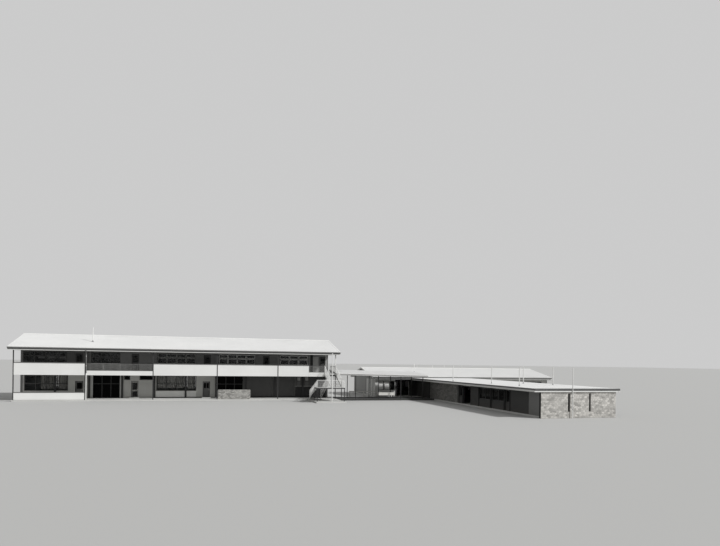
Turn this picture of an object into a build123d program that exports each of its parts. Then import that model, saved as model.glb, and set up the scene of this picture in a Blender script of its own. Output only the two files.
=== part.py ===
from build123d import *
import os

# School building of three joined wings, as a half-size model
# X runs along the two-storey block, Y to the back, Z up from the ground
# The origin is on the ground, in the middle of the building's plan
# All sizes are millimetres of the model, so the real building is twice as large

# Setting out
bay = 3660
bay_count = 5
block_depth = 5790
verandah_depth = 1370
roof_overhang = 250
front_wing_projection = 12125
rear_wing_reach = 7920
rear_wing_gap = 3260
rear_wing_setback = 2280
rear_wing_roof_length = 14150

# Levels above the ground
floor_level = 85
upper_floor_level = 1685
upper_floor_thickness = 100
edge_beam_bottom = 1480
edge_beam_top = 1735
parapet_top = 2180
ceiling_level = 2850
eaves_level = 3020

# Walls, posts and slabs
wall = 100
end_wall = 125
end_wall_setback = 165
post = 50
column = 110
column_depth = 70
slab_margin = 60
step_rise = 45
step_depth = 300

# Roof of the two-storey block
roof_slope = 0.2626
roof_sheet = 20
ceiling_sheet = 25
fascia_board = 20
gutter_width = 60
gutter_height = 42
gutter_wall = 6
fascia_face = 103
barge_drop = 75
cap_width = 120
cap_sheet = 8

# Windows and doors of the two-storey block
ground_sill = 515
ground_head = 1440
upper_sill = 2150
upper_head = 2800
transom_above_floor = 850
window_bar = 24
window_frame_depth = 30
window_setback = 30
pane_width = 580
rear_pane_width = 1150
glass_sheet = 6
door_opening = 440
door_head = 1100
upper_door_width = 400
upper_door_head = 2720
door_jamb = 20
door_gap = 7
door_leaf = 25
light_recess = 6
hinge_radius = 6
hinge_height = 60
hinge_play = 0.3
hinge_offsets = (200, 760)

# Windows and doors of each bay, from its left-hand bay line, as (offset, width) or offset
ground_windows = (
    ((200, 2310),),
    (),
    ((110, 2350),),
    ((60, 1600),),
)
narrow_windows = ((1445, 275), (1970, 275))
narrow_sill = 820
narrow_transom = 1145
upper_windows = ((135, 2290), (80, 1620), (135, 2290), (135, 2290), (320, 1850))
highlight_windows = ((1925, 345), (2800, 780))
highlight_sill = 1170
door_offsets = (2895, 2315, 2850)
upper_door_offsets = (2905, 2350, 2905, 2905, 2925)
rear_window_margin = 135

# Lights of the doors, as shares of the leaf's width and of its height
first_classroom_door_lights = (((0.14, 0.86), (0.55, 0.92)),)
hall_door_lights = (((0.14, 0.86), (0.5, 0.92)), ((0.14, 0.86), (0.08, 0.4)))
classroom_door_lights = (((0.12, 0.46), (0.6, 0.92)), ((0.54, 0.88), (0.6, 0.92)))

# Entrance screen of the second bay and the boarded bays
entrance_offset = 190
entrance_width = 1510
shutter_offset = 1980
shutter_widths = (1565, 1300)
shutter_gap = 130
shutter_sill = 190
shutter_board = 60
shutter_groove = 8
shutter_thickness = 40

# Parapets, railings and low walls
parapet_thickness = 40
ground_parapet_top = 495
ground_parapet_foot = 20
stone_wall_length = 1915
stone_wall_offset = 65
stone_wall_top = 650
stone_wall_thickness = 150
upper_parapet_stop = 1940
railing_height = 460
rail = 25
railing_depth = 16
bar_width = 5
bar_pitch = 150
bottom_rail_height = 60

# Stair at the right end of the two-storey block
flight_width = 715
stair_side = 5
landing_height = 800
landing_depth = 750
landing_overrun = 10
landing_slab = 60
flight_run = 1500
riser_count = 10
tread_thickness = 25
stringer = 20
stringer_above = 20
stringer_below = 105
landing_post = 40
pad_side = 75
pad_front = 200
mast_radius = 25
mast_shift = 60
mast_top = 2915
lower_flight_offset = 245

# Covered way between the wings
way_roof_right = 6110
way_front = 500
way_back = 1700
way_front_height = 1700
way_fall = 100
way_rise = 192
way_sheet = 40
way_beam = 80
way_beam_width = 40
way_row_front = 350
way_row_back = 1600
way_post_first = 1235
way_post_pitch = 1525
way_post_count = 4
bench_first = 1360
bench_length = 2000
bench_seat_height = 230
bench_rail_height = 400
bench_depth = 180
bench_plank = 25

# Front single-storey wing
front_wing_wall_height = 1200
front_wing_eaves_level = 1355
front_wing_roof_left = 6145
front_wing_roof_width = 4540
front_wing_eaves = 465
front_wing_right_eaves = 250
front_wing_front_eaves = 60
front_wing_tray = 50
front_wing_side = 20
wing_window_sill = 500
wing_window_head = 1130
lobby_offset = 4400
lobby_width = 900
side_windows = ((3920, 430), (6250, 1240), (7600, 1240), (8950, 420))
stone_end_thickness = 130
stone_end_margin = 105
stone_slots = ((1310, 120), (2445, 100))
wing_slot_sill = 300
outer_window_count = 7
outer_window_share = 2 / 3

# Rear single-storey wing
rear_wing_wall_height = 1250
rear_wing_eaves_level = 1430
rear_wing_slope = 0.21
rear_wing_inset = 250
rear_wing_front_windows = ((120, 420), (580, 420), (1040, 300))
rear_lobby_offset = 1035
rear_wing_right_count = 3
rear_wing_back_count = 7
rear_wing_back_share = 3 / 4

# Pipes on the roofs
pipe_sides = 12
vent_radius = 22
flashing_radius = 50
flashing_height = 45
vent_foot = 150
main_vents = ((190, 1470, 850),)
front_wing_vents = ((215, 8540, 935), (915, 5325, 935), (765, 2425, 935), (3015, 5525, 935), (3615, 3725, 935))
rear_wing_vents = ((3600, 1385, 620), (4900, 3970, 500), (6200, 3970, 500), (7200, 3970, 500), (8730, 3970, 500))
wall_vent_offset = 1965

# Worked-out positions
block_length = bay * bay_count
total_length = roof_overhang + block_length + rear_wing_gap + rear_wing_roof_length
total_depth = 2 * vent_radius + front_wing_projection + rear_wing_reach
grid_x = [roof_overhang - total_length / 2 + bay * line for line in range(bay_count + 1)]
left_x = grid_x[0]
right_x = grid_x[-1]
front_y = 2 * vent_radius + front_wing_projection - total_depth / 2
recess_y = front_y + verandah_depth
rear_y = front_y + block_depth
ridge_y = (front_y + rear_y) / 2
ridge_level = eaves_level + (block_depth / 2 + roof_overhang) * roof_slope
slab_front = front_y - slab_margin
slab_right = right_x + slab_margin
left_wall_x = (left_x, left_x + end_wall)
right_wall_x = (right_x - end_wall_setback - end_wall, right_x - end_wall_setback)
inner_x = (left_wall_x[1], right_wall_x[0])
floor_underside = upper_floor_level - upper_floor_thickness
front_wall_y = (recess_y, recess_y + wall)
rear_wall_y = (rear_y - wall, rear_y)
door_x = [grid_x[line] + offset for line, offset in enumerate(door_offsets)]


def middle(span):
    return (span[0] + span[1]) / 2


def block(x, y, z, mode=Mode.ADD):
    """Add a straight block between pairs of faces."""
    with BuildSketch(Plane.XY.offset(z[0])) as outline:
        with Locations((middle(x), middle(y))):
            Rectangle(x[1] - x[0], y[1] - y[0])
    extrude(outline.sketch, amount=z[1] - z[0], mode=mode)


def section_along_x(points, x, mode=Mode.ADD):
    """Extrude a (y, z) outline from one X to another."""
    with BuildSketch(Plane.YZ.offset(x[0])) as outline:
        with BuildLine():
            Polyline(*points, close=True)
        make_face()
    extrude(outline.sketch, amount=x[1] - x[0], mode=mode)


def wall_along_x(x, y, z, holes=()):
    """Add an upright wall that runs along X, with its (x, z) openings cut through."""
    with BuildSketch(Plane.XZ.offset(-y[0])) as face:
        with Locations((middle(x), middle(z))):
            Rectangle(x[1] - x[0], z[1] - z[0])
        for hole_x, hole_z in holes:
            with Locations((middle(hole_x), middle(hole_z))):
                Rectangle(hole_x[1] - hole_x[0], hole_z[1] - hole_z[0], mode=Mode.SUBTRACT)
    extrude(face.sketch, amount=y[0] - y[1])


def wall_along_y(x, y, z, holes=()):
    """Add an upright wall that runs along Y, with its (y, z) openings cut through."""
    with BuildSketch(Plane.YZ.offset(x[0])) as face:
        with Locations((middle(y), middle(z))):
            Rectangle(y[1] - y[0], z[1] - z[0])
        for hole_y, hole_z in holes:
            with Locations((middle(hole_y), middle(hole_z))):
                Rectangle(hole_y[1] - hole_y[0], hole_z[1] - hole_z[0], mode=Mode.SUBTRACT)
    extrude(face.sketch, amount=x[1] - x[0])


def panes(span, z, transom=None, pitch=pane_width):
    """List the clear panes between the bars of a window, two rows where it has a transom."""
    count = max(1, round((span[1] - span[0]) / pitch))
    pane = (span[1] - span[0] - window_bar * (count + 1)) / count
    columns = []
    for index in range(count):
        low = span[0] + window_bar + index * (pane + window_bar)
        columns.append((low, low + pane))
    bottom = z[0] + window_bar
    top = z[1] - window_bar
    if transom is None:
        rows = [(bottom, top)]
    else:
        rows = [(bottom, transom - window_bar / 2), (transom + window_bar / 2, top)]
    return [(column_span, row) for column_span in columns for row in rows]


def row_of_spans(start, end, count, share):
    """List evenly spaced spans along a wall, each taking a share of its pitch."""
    pitch = (end - start) / count
    spans = []
    for index in range(count):
        low = start + (index + (1 - share) / 2) * pitch
        spans.append((low, low + share * pitch))
    return spans


def face_depth(outer, inward, start, depth):
    """Give the low and high faces of a layer set back from an outer wall face."""
    near = outer + inward * start
    far = near + inward * depth
    return (min(near, far), max(near, far))


def export(piece, name):
    """Label a finished piece and write it."""
    piece.part.label = name
    export_step(piece.part, "parts/" + name + ".step")


os.makedirs("parts", exist_ok=True)

# Window places of the two-storey block, as (x, z, transom)
ground_transom = floor_level + transom_above_floor
upper_transom = upper_floor_level + transom_above_floor
ground_holes = []
for line_x, windows in zip(grid_x, ground_windows):
    for offset, width in windows:
        low = line_x + offset
        ground_holes.append(((low, low + width), (ground_sill, ground_head), ground_transom))
for offset, width in narrow_windows:
    low = grid_x[4] + offset
    ground_holes.append(((low, low + width), (narrow_sill, ground_head), narrow_transom))
for offset, width in highlight_windows:
    low = grid_x[1] + offset
    ground_holes.append(((low, low + width), (highlight_sill, ground_head), None))
upper_holes = []
for line_x, (offset, width) in zip(grid_x, upper_windows):
    low = line_x + offset
    upper_holes.append(((low, low + width), (upper_sill, upper_head), upper_transom))
rear_holes = []
rear_pitch = (inner_x[1] - inner_x[0]) / bay_count
for line in range(bay_count):
    low = inner_x[0] + line * rear_pitch
    span = (low + rear_window_margin, low + rear_pitch - rear_window_margin)
    rear_holes.append((span, (ground_sill, ground_head), ground_transom))
    rear_holes.append((span, (upper_sill, upper_head), upper_transom))
entrance_x = (grid_x[1] + entrance_offset, grid_x[1] + entrance_offset + entrance_width)
entrance_hole = (entrance_x, (floor_level, ground_head))
shutter_x = []
shutter_start = grid_x[3] + shutter_offset
for width in shutter_widths:
    shutter_x.append((shutter_start, shutter_start + width))
    shutter_start += width + shutter_gap
shutter_holes = [(span, (shutter_sill, ground_head)) for span in shutter_x]
upper_door_holes = []
for line_x, offset in zip(grid_x, upper_door_offsets):
    low = line_x + offset
    upper_door_holes.append(((low, low + upper_door_width), (upper_floor_level, upper_door_head)))

# Floor slab of the two-storey block
with BuildPart() as main_slab:
    block((left_x - slab_margin, slab_right), (slab_front, rear_y + slab_margin), (0, floor_level))
export(main_slab, "main_slab")

# Upper floor, carried by the walls and the verandah posts
with BuildPart() as upper_floor:
    block(
        (left_x - post / 2, right_x + post / 2),
        (front_y + post, rear_y),
        (floor_underside, upper_floor_level),
    )
export(upper_floor, "upper_floor")

# Verandah posts on the bay lines, through both storeys
with BuildPart() as verandah_posts:
    for x in grid_x:
        block((x - post / 2, x + post / 2), (front_y, front_y + post), (floor_level, ceiling_level))
export(verandah_posts, "verandah_posts")

# Floor edge where the verandah is open above
stair_left = right_x - stair_side - flight_width
parapet_stop_x = grid_x[4] + upper_parapet_stop
with BuildPart() as edge_beams:
    block(
        (grid_x[1] + post / 2, grid_x[2] - post / 2),
        (front_y, front_y + post),
        (edge_beam_bottom, edge_beam_top),
    )
    block(
        (parapet_stop_x, stair_left),
        (front_y, front_y + post),
        (edge_beam_bottom, edge_beam_top),
    )
    block(
        (stair_left, right_x - post / 2),
        (front_y, front_y + post),
        (floor_underside, upper_floor_level),
    )
export(edge_beams, "edge_beams")

# Solid parapets of the upper verandah, which hide the floor edge
with BuildPart() as upper_parapets:
    for line in (0, 2, 3, 4):
        end = parapet_stop_x if line == 4 else grid_x[line + 1] - post / 2
        block(
            (grid_x[line] + post / 2, end),
            (front_y + post - parapet_thickness, front_y + post),
            (edge_beam_bottom, parapet_top),
        )
export(upper_parapets, "upper_parapets")

# Low parapet in front of the first classroom, on a set-back foot
with BuildPart() as ground_parapet:
    section_along_x(
        (
            (front_y + post, floor_level),
            (front_y + post, ground_parapet_top),
            (front_y + post - parapet_thickness, ground_parapet_top),
            (front_y + post - parapet_thickness, floor_level + ground_parapet_foot),
            (front_y + post - parapet_thickness / 2, floor_level + ground_parapet_foot),
            (front_y + post - parapet_thickness / 2, floor_level),
        ),
        (grid_x[0] + post / 2, grid_x[1] - post / 2),
    )
export(ground_parapet, "ground_parapet")

# Low rubble wall in front of the fourth bay
with BuildPart() as stone_low_wall:
    low = grid_x[3] + stone_wall_offset
    block(
        (low, low + stone_wall_length),
        (front_y, front_y + stone_wall_thickness),
        (floor_level, stone_wall_top),
    )
export(stone_low_wall, "stone_low_wall")


def railing_face(a, low, high, fall, lift):
    """Sketch a barred panel whose base line falls by fall for each unit along it.

    a is the span, low and high the base line's and the top rail's height at its start.
    """
    def line_z(position, height):
        return height - fall * (position - a[0])

    def band(start, end, bottom, top, mode):
        with BuildLine() as outline:
            Polyline(
                (start, line_z(start, bottom)),
                (end, line_z(end, bottom)),
                (end, line_z(end, top)),
                (start, line_z(start, top)),
                close=True,
            )
        make_face(outline.edges(), mode=mode)

    band(a[0], a[1], low, high, Mode.ADD)
    band(a[0] + rail, a[1] - rail, low, low + lift, Mode.SUBTRACT)
    inner = a[1] - a[0] - 2 * rail
    count = max(1, round(inner / bar_pitch))
    cell = (inner - bar_width * (count - 1)) / count
    for index in range(count):
        start = a[0] + rail + index * (cell + bar_width)
        band(start, start + cell, low + lift + rail, high - rail, Mode.SUBTRACT)


def railing_along_x(x, y, low, high, fall=0.0, lift=bottom_rail_height):
    """Add a barred railing that runs along X, centred on y."""
    with BuildSketch(Plane.XZ.offset(-(y - railing_depth / 2))) as face:
        railing_face(x, low, high, fall, lift)
    extrude(face.sketch, amount=-railing_depth)


def railing_along_y(x, y, low, high, fall=0.0, lift=bottom_rail_height):
    """Add a barred railing that runs along Y, centred on x."""
    with BuildSketch(Plane.YZ.offset(x - railing_depth / 2)) as face:
        railing_face(y, low, high, fall, lift)
    extrude(face.sketch, amount=railing_depth)


# Barred railings of the open verandah bays and ends
rail_y = front_y + post / 2
with BuildPart() as verandah_railings:
    railing_along_x(
        (grid_x[1] + post / 2, grid_x[2] - post / 2),
        rail_y,
        edge_beam_top,
        upper_floor_level + railing_height,
        lift=rail,
    )
    railing_along_x(
        (parapet_stop_x, stair_left),
        rail_y,
        edge_beam_top,
        upper_floor_level + railing_height,
        lift=rail,
    )
    for x in (left_x, right_x):
        railing_along_y(
            x,
            (front_y + post, recess_y),
            upper_floor_level,
            upper_floor_level + railing_height,
        )
export(verandah_railings, "verandah_railings")

# Columns that stand against the ground-floor wall on the half bays
with BuildPart() as wall_columns:
    for line in range(1, 2 * bay_count):
        x = left_x + line * bay / 2
        block(
            (x - column / 2, x + column / 2),
            (recess_y - column_depth, recess_y),
            (floor_level, floor_underside),
        )
export(wall_columns, "wall_columns")

# Ground-floor front wall, in lengths between the doors
with BuildPart() as ground_front_wall:
    starts = [inner_x[0]] + [x + door_opening for x in door_x]
    ends = door_x + [inner_x[1]]
    cuts = [(hole[0], hole[1]) for hole in ground_holes] + [entrance_hole] + shutter_holes
    for start, end in zip(starts, ends):
        inside = [cut for cut in cuts if start < middle(cut[0]) < end]
        wall_along_x((start, end), front_wall_y, (floor_level, floor_underside), inside)
export(ground_front_wall, "ground_front_wall")

# Upper front wall with its windows and doors
with BuildPart() as upper_front_wall:
    cuts = [(hole[0], hole[1]) for hole in upper_holes] + upper_door_holes
    wall_along_x(inner_x, front_wall_y, (upper_floor_level, ceiling_level), cuts)
export(upper_front_wall, "upper_front_wall")

# Rear walls of both storeys
with BuildPart() as rear_walls:
    storeys = ((floor_level, floor_underside), (upper_floor_level, ceiling_level))
    for low, high in storeys:
        cuts = [(hole[0], hole[1]) for hole in rear_holes if low < hole[1][0] < high]
        wall_along_x(inner_x, rear_wall_y, (low, high), cuts)
export(rear_walls, "rear_walls")

# End walls of both storeys
with BuildPart() as end_walls:
    for x in (left_wall_x, right_wall_x):
        for low, high in storeys:
            block(x, (recess_y, rear_y), (low, high))
export(end_walls, "end_walls")


def roof_top(y, ridge, edge_level, half, slope):
    """Give the top of a gable roof at a distance from its ridge."""
    return edge_level + (half - abs(y - ridge)) * slope


main_half = block_depth / 2 + roof_overhang
main_eaves_y = (front_y - roof_overhang, rear_y + roof_overhang)
main_verge_x = (left_x - roof_overhang, right_x + roof_overhang)


def main_top(y):
    return roof_top(y, ridge_y, eaves_level, main_half, roof_slope)


def main_under(y):
    return main_top(y) - roof_sheet


# Roof of the two-storey block, one sheet each side of the ridge
with BuildPart() as main_roof_front:
    section_along_x(
        (
            (main_eaves_y[0], main_under(main_eaves_y[0])),
            (ridge_y, main_under(ridge_y)),
            (ridge_y, main_top(ridge_y)),
            (main_eaves_y[0], main_top(main_eaves_y[0])),
        ),
        main_verge_x,
    )
export(main_roof_front, "main_roof_front")

with BuildPart() as main_roof_rear:
    section_along_x(
        (
            (ridge_y, main_under(ridge_y)),
            (main_eaves_y[1], main_under(main_eaves_y[1])),
            (main_eaves_y[1], main_top(main_eaves_y[1])),
            (ridge_y, main_top(ridge_y)),
        ),
        main_verge_x,
    )
export(main_roof_rear, "main_roof_rear")

# Rear wing's place and roof
rear_wing_x = (total_length / 2 - rear_wing_roof_length, total_length / 2)
rear_wing_y = (front_y + rear_wing_setback, total_depth / 2)
rear_half = (rear_wing_y[1] - rear_wing_y[0]) / 2
rear_ridge_y = middle(rear_wing_y)
rear_wall_x = (rear_wing_x[0] + rear_wing_inset, rear_wing_x[1] - rear_wing_inset)
rear_long_y = (rear_wing_y[0] + rear_wing_inset, rear_wing_y[1] - rear_wing_inset)


def rear_top(y):
    return roof_top(y, rear_ridge_y, rear_wing_eaves_level, rear_half, rear_wing_slope)


def rear_under(y):
    return rear_top(y) - roof_sheet


with BuildPart() as rear_wing_roof_front:
    section_along_x(
        (
            (rear_wing_y[0], rear_under(rear_wing_y[0])),
            (rear_ridge_y, rear_under(rear_ridge_y)),
            (rear_ridge_y, rear_top(rear_ridge_y)),
            (rear_wing_y[0], rear_top(rear_wing_y[0])),
        ),
        rear_wing_x,
    )
export(rear_wing_roof_front, "rear_wing_roof_front")

with BuildPart() as rear_wing_roof_rear:
    section_along_x(
        (
            (rear_ridge_y, rear_under(rear_ridge_y)),
            (rear_wing_y[1], rear_under(rear_wing_y[1])),
            (rear_wing_y[1], rear_top(rear_wing_y[1])),
            (rear_ridge_y, rear_top(rear_ridge_y)),
        ),
        rear_wing_x,
    )
export(rear_wing_roof_rear, "rear_wing_roof_rear")

# Ridge caps folded over both ridges
with BuildPart() as ridge_caps:
    for ridge, top, x in (
        (ridge_y, main_top, main_verge_x),
        (rear_ridge_y, rear_top, rear_wing_x),
    ):
        section_along_x(
            (
                (ridge - cap_width, top(ridge - cap_width)),
                (ridge, top(ridge)),
                (ridge + cap_width, top(ridge + cap_width)),
                (ridge + cap_width, top(ridge + cap_width) + cap_sheet),
                (ridge, top(ridge) + cap_sheet),
                (ridge - cap_width, top(ridge - cap_width) + cap_sheet),
            ),
            x,
        )
export(ridge_caps, "ridge_caps")

# Fascia boards behind the gutters
with BuildPart() as eaves_fascias:
    for eaves, inward, under, bottom, x in (
        (main_eaves_y[0], 1, main_under, ceiling_level, main_verge_x),
        (main_eaves_y[1], -1, main_under, ceiling_level, main_verge_x),
        (rear_wing_y[0], 1, rear_under, rear_wing_wall_height, rear_wing_x),
        (rear_wing_y[1], -1, rear_under, rear_wing_wall_height, rear_wing_x),
    ):
        outer = eaves + inward * gutter_width
        inner = outer + inward * fascia_board
        section_along_x(
            ((outer, bottom), (inner, bottom), (inner, under(inner)), (outer, under(outer))),
            x,
        )
export(eaves_fascias, "eaves_fascias")

# Open gutters along the eaves
with BuildPart() as eaves_gutters:
    for eaves, inward, bottom, x in (
        (main_eaves_y[0], 1, ceiling_level + fascia_face, main_verge_x),
        (main_eaves_y[1], -1, ceiling_level + fascia_face, main_verge_x),
        (rear_wing_y[0], 1, rear_wing_wall_height + fascia_face, rear_wing_x),
        (rear_wing_y[1], -1, rear_wing_wall_height + fascia_face, rear_wing_x),
    ):
        far = eaves + inward * gutter_width
        section_along_x(
            (
                (eaves, bottom),
                (far, bottom),
                (far, bottom + gutter_height),
                (far - inward * gutter_wall, bottom + gutter_height),
                (far - inward * gutter_wall, bottom + gutter_wall),
                (eaves + inward * gutter_wall, bottom + gutter_wall),
                (eaves + inward * gutter_wall, bottom + gutter_height),
                (eaves, bottom + gutter_height),
            ),
            x,
        )
export(eaves_gutters, "eaves_gutters")

# Barge boards under the verges
with BuildPart() as barge_boards:
    for ridge, under, eaves, x in (
        (ridge_y, main_under, main_eaves_y, main_verge_x),
        (rear_ridge_y, rear_under, rear_wing_y, rear_wing_x),
    ):
        low = eaves[0] + gutter_width + fascia_board
        high = eaves[1] - gutter_width - fascia_board
        for start in (x[0], x[1] - fascia_board):
            section_along_x(
                (
                    (low, under(low)),
                    (ridge, under(ridge)),
                    (high, under(high)),
                    (high, under(high) - barge_drop),
                    (ridge, under(ridge) - barge_drop),
                    (low, under(low) - barge_drop),
                ),
                (start, start + fascia_board),
            )
export(barge_boards, "barge_boards")

# Ceiling of the upper storey and the soffit of its eaves
soffit_y = (main_eaves_y[0] + gutter_width + fascia_board, main_eaves_y[1] - gutter_width - fascia_board)
with BuildPart() as upper_ceiling:
    block((left_x, right_x), soffit_y, (ceiling_level, ceiling_level + ceiling_sheet))
export(upper_ceiling, "upper_ceiling")

# Gable panels over the end bays
with BuildPart() as gable_ends:
    for x in ((left_x - post / 2, left_x), (right_x, right_x + post / 2)):
        section_along_x(
            (
                (soffit_y[0], ceiling_level),
                (soffit_y[1], ceiling_level),
                (soffit_y[1], main_under(soffit_y[1])),
                (ridge_y, main_under(ridge_y)),
                (soffit_y[0], main_under(soffit_y[0])),
            ),
            x,
        )
export(gable_ends, "gable_ends")

# Window frames of the two-storey block, front and rear
front_frame_y = face_depth(recess_y, 1, window_setback, window_frame_depth)
front_glass_y = face_depth(recess_y, 1, window_setback + window_frame_depth, glass_sheet)
rear_frame_y = face_depth(rear_y, -1, window_setback, window_frame_depth)
rear_glass_y = face_depth(rear_y, -1, window_setback + window_frame_depth, glass_sheet)
front_holes = ground_holes + upper_holes + [(*entrance_hole, ground_transom)]
with BuildPart() as window_frames:
    for x, z, transom in front_holes:
        wall_along_x(x, front_frame_y, z, panes(x, z, transom))
export(window_frames, "window_frames")

with BuildPart() as rear_window_frames:
    for x, z, transom in rear_holes:
        wall_along_x(x, rear_frame_y, z, panes(x, z, transom, rear_pane_width))
export(rear_window_frames, "rear_window_frames")

# Glass of the two-storey block, one sheet behind each frame
with BuildPart() as window_glass:
    for x, z, transom in front_holes:
        block(x, front_glass_y, z)
    for x, z, transom in rear_holes:
        block(x, rear_glass_y, z)
export(window_glass, "window_glass")

# Grooved boards that close the shuttered bays
with BuildPart() as shutter_boards:
    shutter_y = face_depth(recess_y, 1, window_setback, shutter_thickness)
    for span in shutter_x:
        block(span, shutter_y, (shutter_sill, ground_head))
        count = round((ground_head - shutter_sill) / shutter_board)
        board = (ground_head - shutter_sill) / count
        for index in range(1, count):
            level = shutter_sill + index * board
            block(
                span,
                (shutter_y[0], shutter_y[0] + shutter_groove),
                (level - shutter_groove / 2, level + shutter_groove / 2),
                Mode.SUBTRACT,
            )
export(shutter_boards, "shutter_boards")

# Door frames, each with the lower halves of two lift-off hinges
leaf_back_y = front_wall_y[1]
hinge_y = leaf_back_y + hinge_radius
hinge_levels = [floor_level + offset for offset in hinge_offsets]
hinge_split = (hinge_height - hinge_play) / 2


def knuckle(x, low, high):
    """Add one barrel of a door hinge with its leaf towards the wall."""
    with BuildSketch(Plane.XY.offset(low)) as barrel:
        with Locations((x, hinge_y)):
            Circle(hinge_radius)
    extrude(barrel.sketch, amount=high - low)


def hinge_axis(x):
    """Give the X of the hinge line of a door whose opening starts at x."""
    return x + door_jamb + door_gap / 2


with BuildPart() as door_frames:
    for x in door_x:
        wall_along_x(
            (x, x + door_opening),
            front_wall_y,
            (floor_level, door_head),
            [((x + door_jamb, x + door_opening - door_jamb), (floor_level, door_head - door_jamb))],
        )
        for level in hinge_levels:
            knuckle(hinge_axis(x), level, level + hinge_split)
            block(
                (x + door_jamb / 2, hinge_axis(x)),
                (leaf_back_y, leaf_back_y + hinge_radius / 2),
                (level, level + hinge_split),
            )
export(door_frames, "door_frames")


def leaf_outline(x):
    """Give the X span of a door leaf in its frame."""
    return (x + door_jamb + door_gap, x + door_opening - door_jamb - door_gap)


def make_leaf(x, lights):
    """Add a door leaf with recessed lights and the upper halves of its hinges.

    Each light is a pair of shares of the leaf's width and a pair of its height.
    """
    span = leaf_outline(x)
    z = (floor_level + door_gap, door_head - door_jamb - door_gap)
    block(span, (leaf_back_y - door_leaf, leaf_back_y), z)
    for across, up in lights:
        light_x = [span[0] + share * (span[1] - span[0]) for share in across]
        light_z = [z[0] + share * (z[1] - z[0]) for share in up]
        for face in (
            (leaf_back_y - door_leaf, leaf_back_y - door_leaf + light_recess),
            (leaf_back_y - light_recess, leaf_back_y),
        ):
            block(light_x, face, light_z, Mode.SUBTRACT)
    for level in hinge_levels:
        hinge_z = (level + hinge_height - hinge_split, level + hinge_height)
        knuckle(hinge_axis(x), *hinge_z)
        block(
            (hinge_axis(x), span[0] + door_jamb),
            (leaf_back_y, leaf_back_y + hinge_radius / 2),
            hinge_z,
        )


# Door leaves of the ground floor
with BuildPart() as first_classroom_door:
    make_leaf(door_x[0], first_classroom_door_lights)
export(first_classroom_door, "first_classroom_door")

with BuildPart() as hall_door:
    make_leaf(door_x[1], hall_door_lights)
export(hall_door, "hall_door")

with BuildPart() as classroom_door:
    make_leaf(door_x[2], classroom_door_lights)
export(classroom_door, "classroom_door")

# Fixed door leaves of the upper floor
with BuildPart() as upper_door_leaves:
    for x, z in upper_door_holes:
        block(x, face_depth(recess_y, 1, window_setback, door_leaf), z)
export(upper_door_leaves, "upper_door_leaves")

# Steps in front of the ground-floor doors
with BuildPart() as door_steps:
    for x in door_x[1:]:
        block(
            (x - step_rise, x + door_opening + step_rise),
            (recess_y - step_depth, recess_y - column_depth),
            (floor_level, floor_level + step_rise),
        )
export(door_steps, "door_steps")

# Concrete pad under the stair
landing_level = floor_level + landing_height
landing_back = front_y - flight_run
landing_y = (landing_back - landing_depth, landing_back)
upper_flight_x = (stair_left, stair_left + flight_width)
lower_flight_x = (
    stair_left - lower_flight_offset - flight_width,
    stair_left - lower_flight_offset,
)
landing_x = (lower_flight_x[0], right_x + landing_overrun)
pad_x = (landing_x[0] - pad_side, slab_right)
with BuildPart() as stair_pad:
    block(pad_x, (landing_y[0] - pad_front, slab_front), (0, floor_level))
export(stair_pad, "stair_pad")

# Half landing and its posts
with BuildPart() as stair_landing:
    block(landing_x, landing_y, (landing_level - landing_slab, landing_level))
export(stair_landing, "stair_landing")

with BuildPart() as landing_posts:
    for x in (landing_x[0] + landing_post / 2, landing_x[1] - landing_post / 2):
        for y in (landing_y[0] + landing_post / 2, landing_y[1] - landing_post / 2):
            block(
                (x - landing_post / 2, x + landing_post / 2),
                (y - landing_post / 2, y + landing_post / 2),
                (floor_level, landing_level - landing_slab),
            )
export(landing_posts, "landing_posts")

# Flights of open treads between stringers
tread_count = riser_count - 1
upper_rise = (upper_floor_level - landing_level) / riser_count
upper_going = flight_run / tread_count
lower_rise = landing_height / riser_count
lower_going = (flight_run - slab_margin) / tread_count
with BuildPart() as stair_treads:
    for index in range(1, riser_count):
        top = upper_floor_level - index * upper_rise
        high_y = front_y - (index - 1) * upper_going
        block(
            (upper_flight_x[0] + stringer, upper_flight_x[1] - stringer),
            (high_y - upper_going, high_y),
            (top - tread_thickness, top),
        )
    for index in range(1, riser_count):
        top = landing_level - index * lower_rise
        low_y = landing_back + (index - 1) * lower_going
        block(
            (lower_flight_x[0] + stringer, lower_flight_x[1] - stringer),
            (low_y, low_y + lower_going),
            (top - tread_thickness, top),
        )
export(stair_treads, "stair_treads")

upper_fall = -upper_rise / upper_going
lower_fall = lower_rise / lower_going
upper_foot = upper_floor_level + upper_fall * flight_run
lower_end = slab_front
lower_foot = landing_level - lower_fall * (lower_end - landing_back)
with BuildPart() as stair_stringers:
    for x in (upper_flight_x[0], upper_flight_x[1] - stringer):
        section_along_x(
            (
                (landing_back, upper_foot - stringer_below),
                (front_y, upper_floor_level - stringer_below),
                (front_y, upper_floor_level + stringer_above),
                (landing_back, upper_foot + stringer_above),
            ),
            (x, x + stringer),
        )
    touch_y = landing_back + (landing_level - stringer_below - floor_level) / lower_fall
    for x in (lower_flight_x[0], lower_flight_x[1] - stringer):
        section_along_x(
            (
                (landing_back, landing_level - stringer_below),
                (touch_y, floor_level),
                (lower_end, floor_level),
                (lower_end, lower_foot + stringer_above),
                (landing_back, landing_level + stringer_above),
            ),
            (x, x + stringer),
        )
export(stair_stringers, "stair_stringers")

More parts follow.
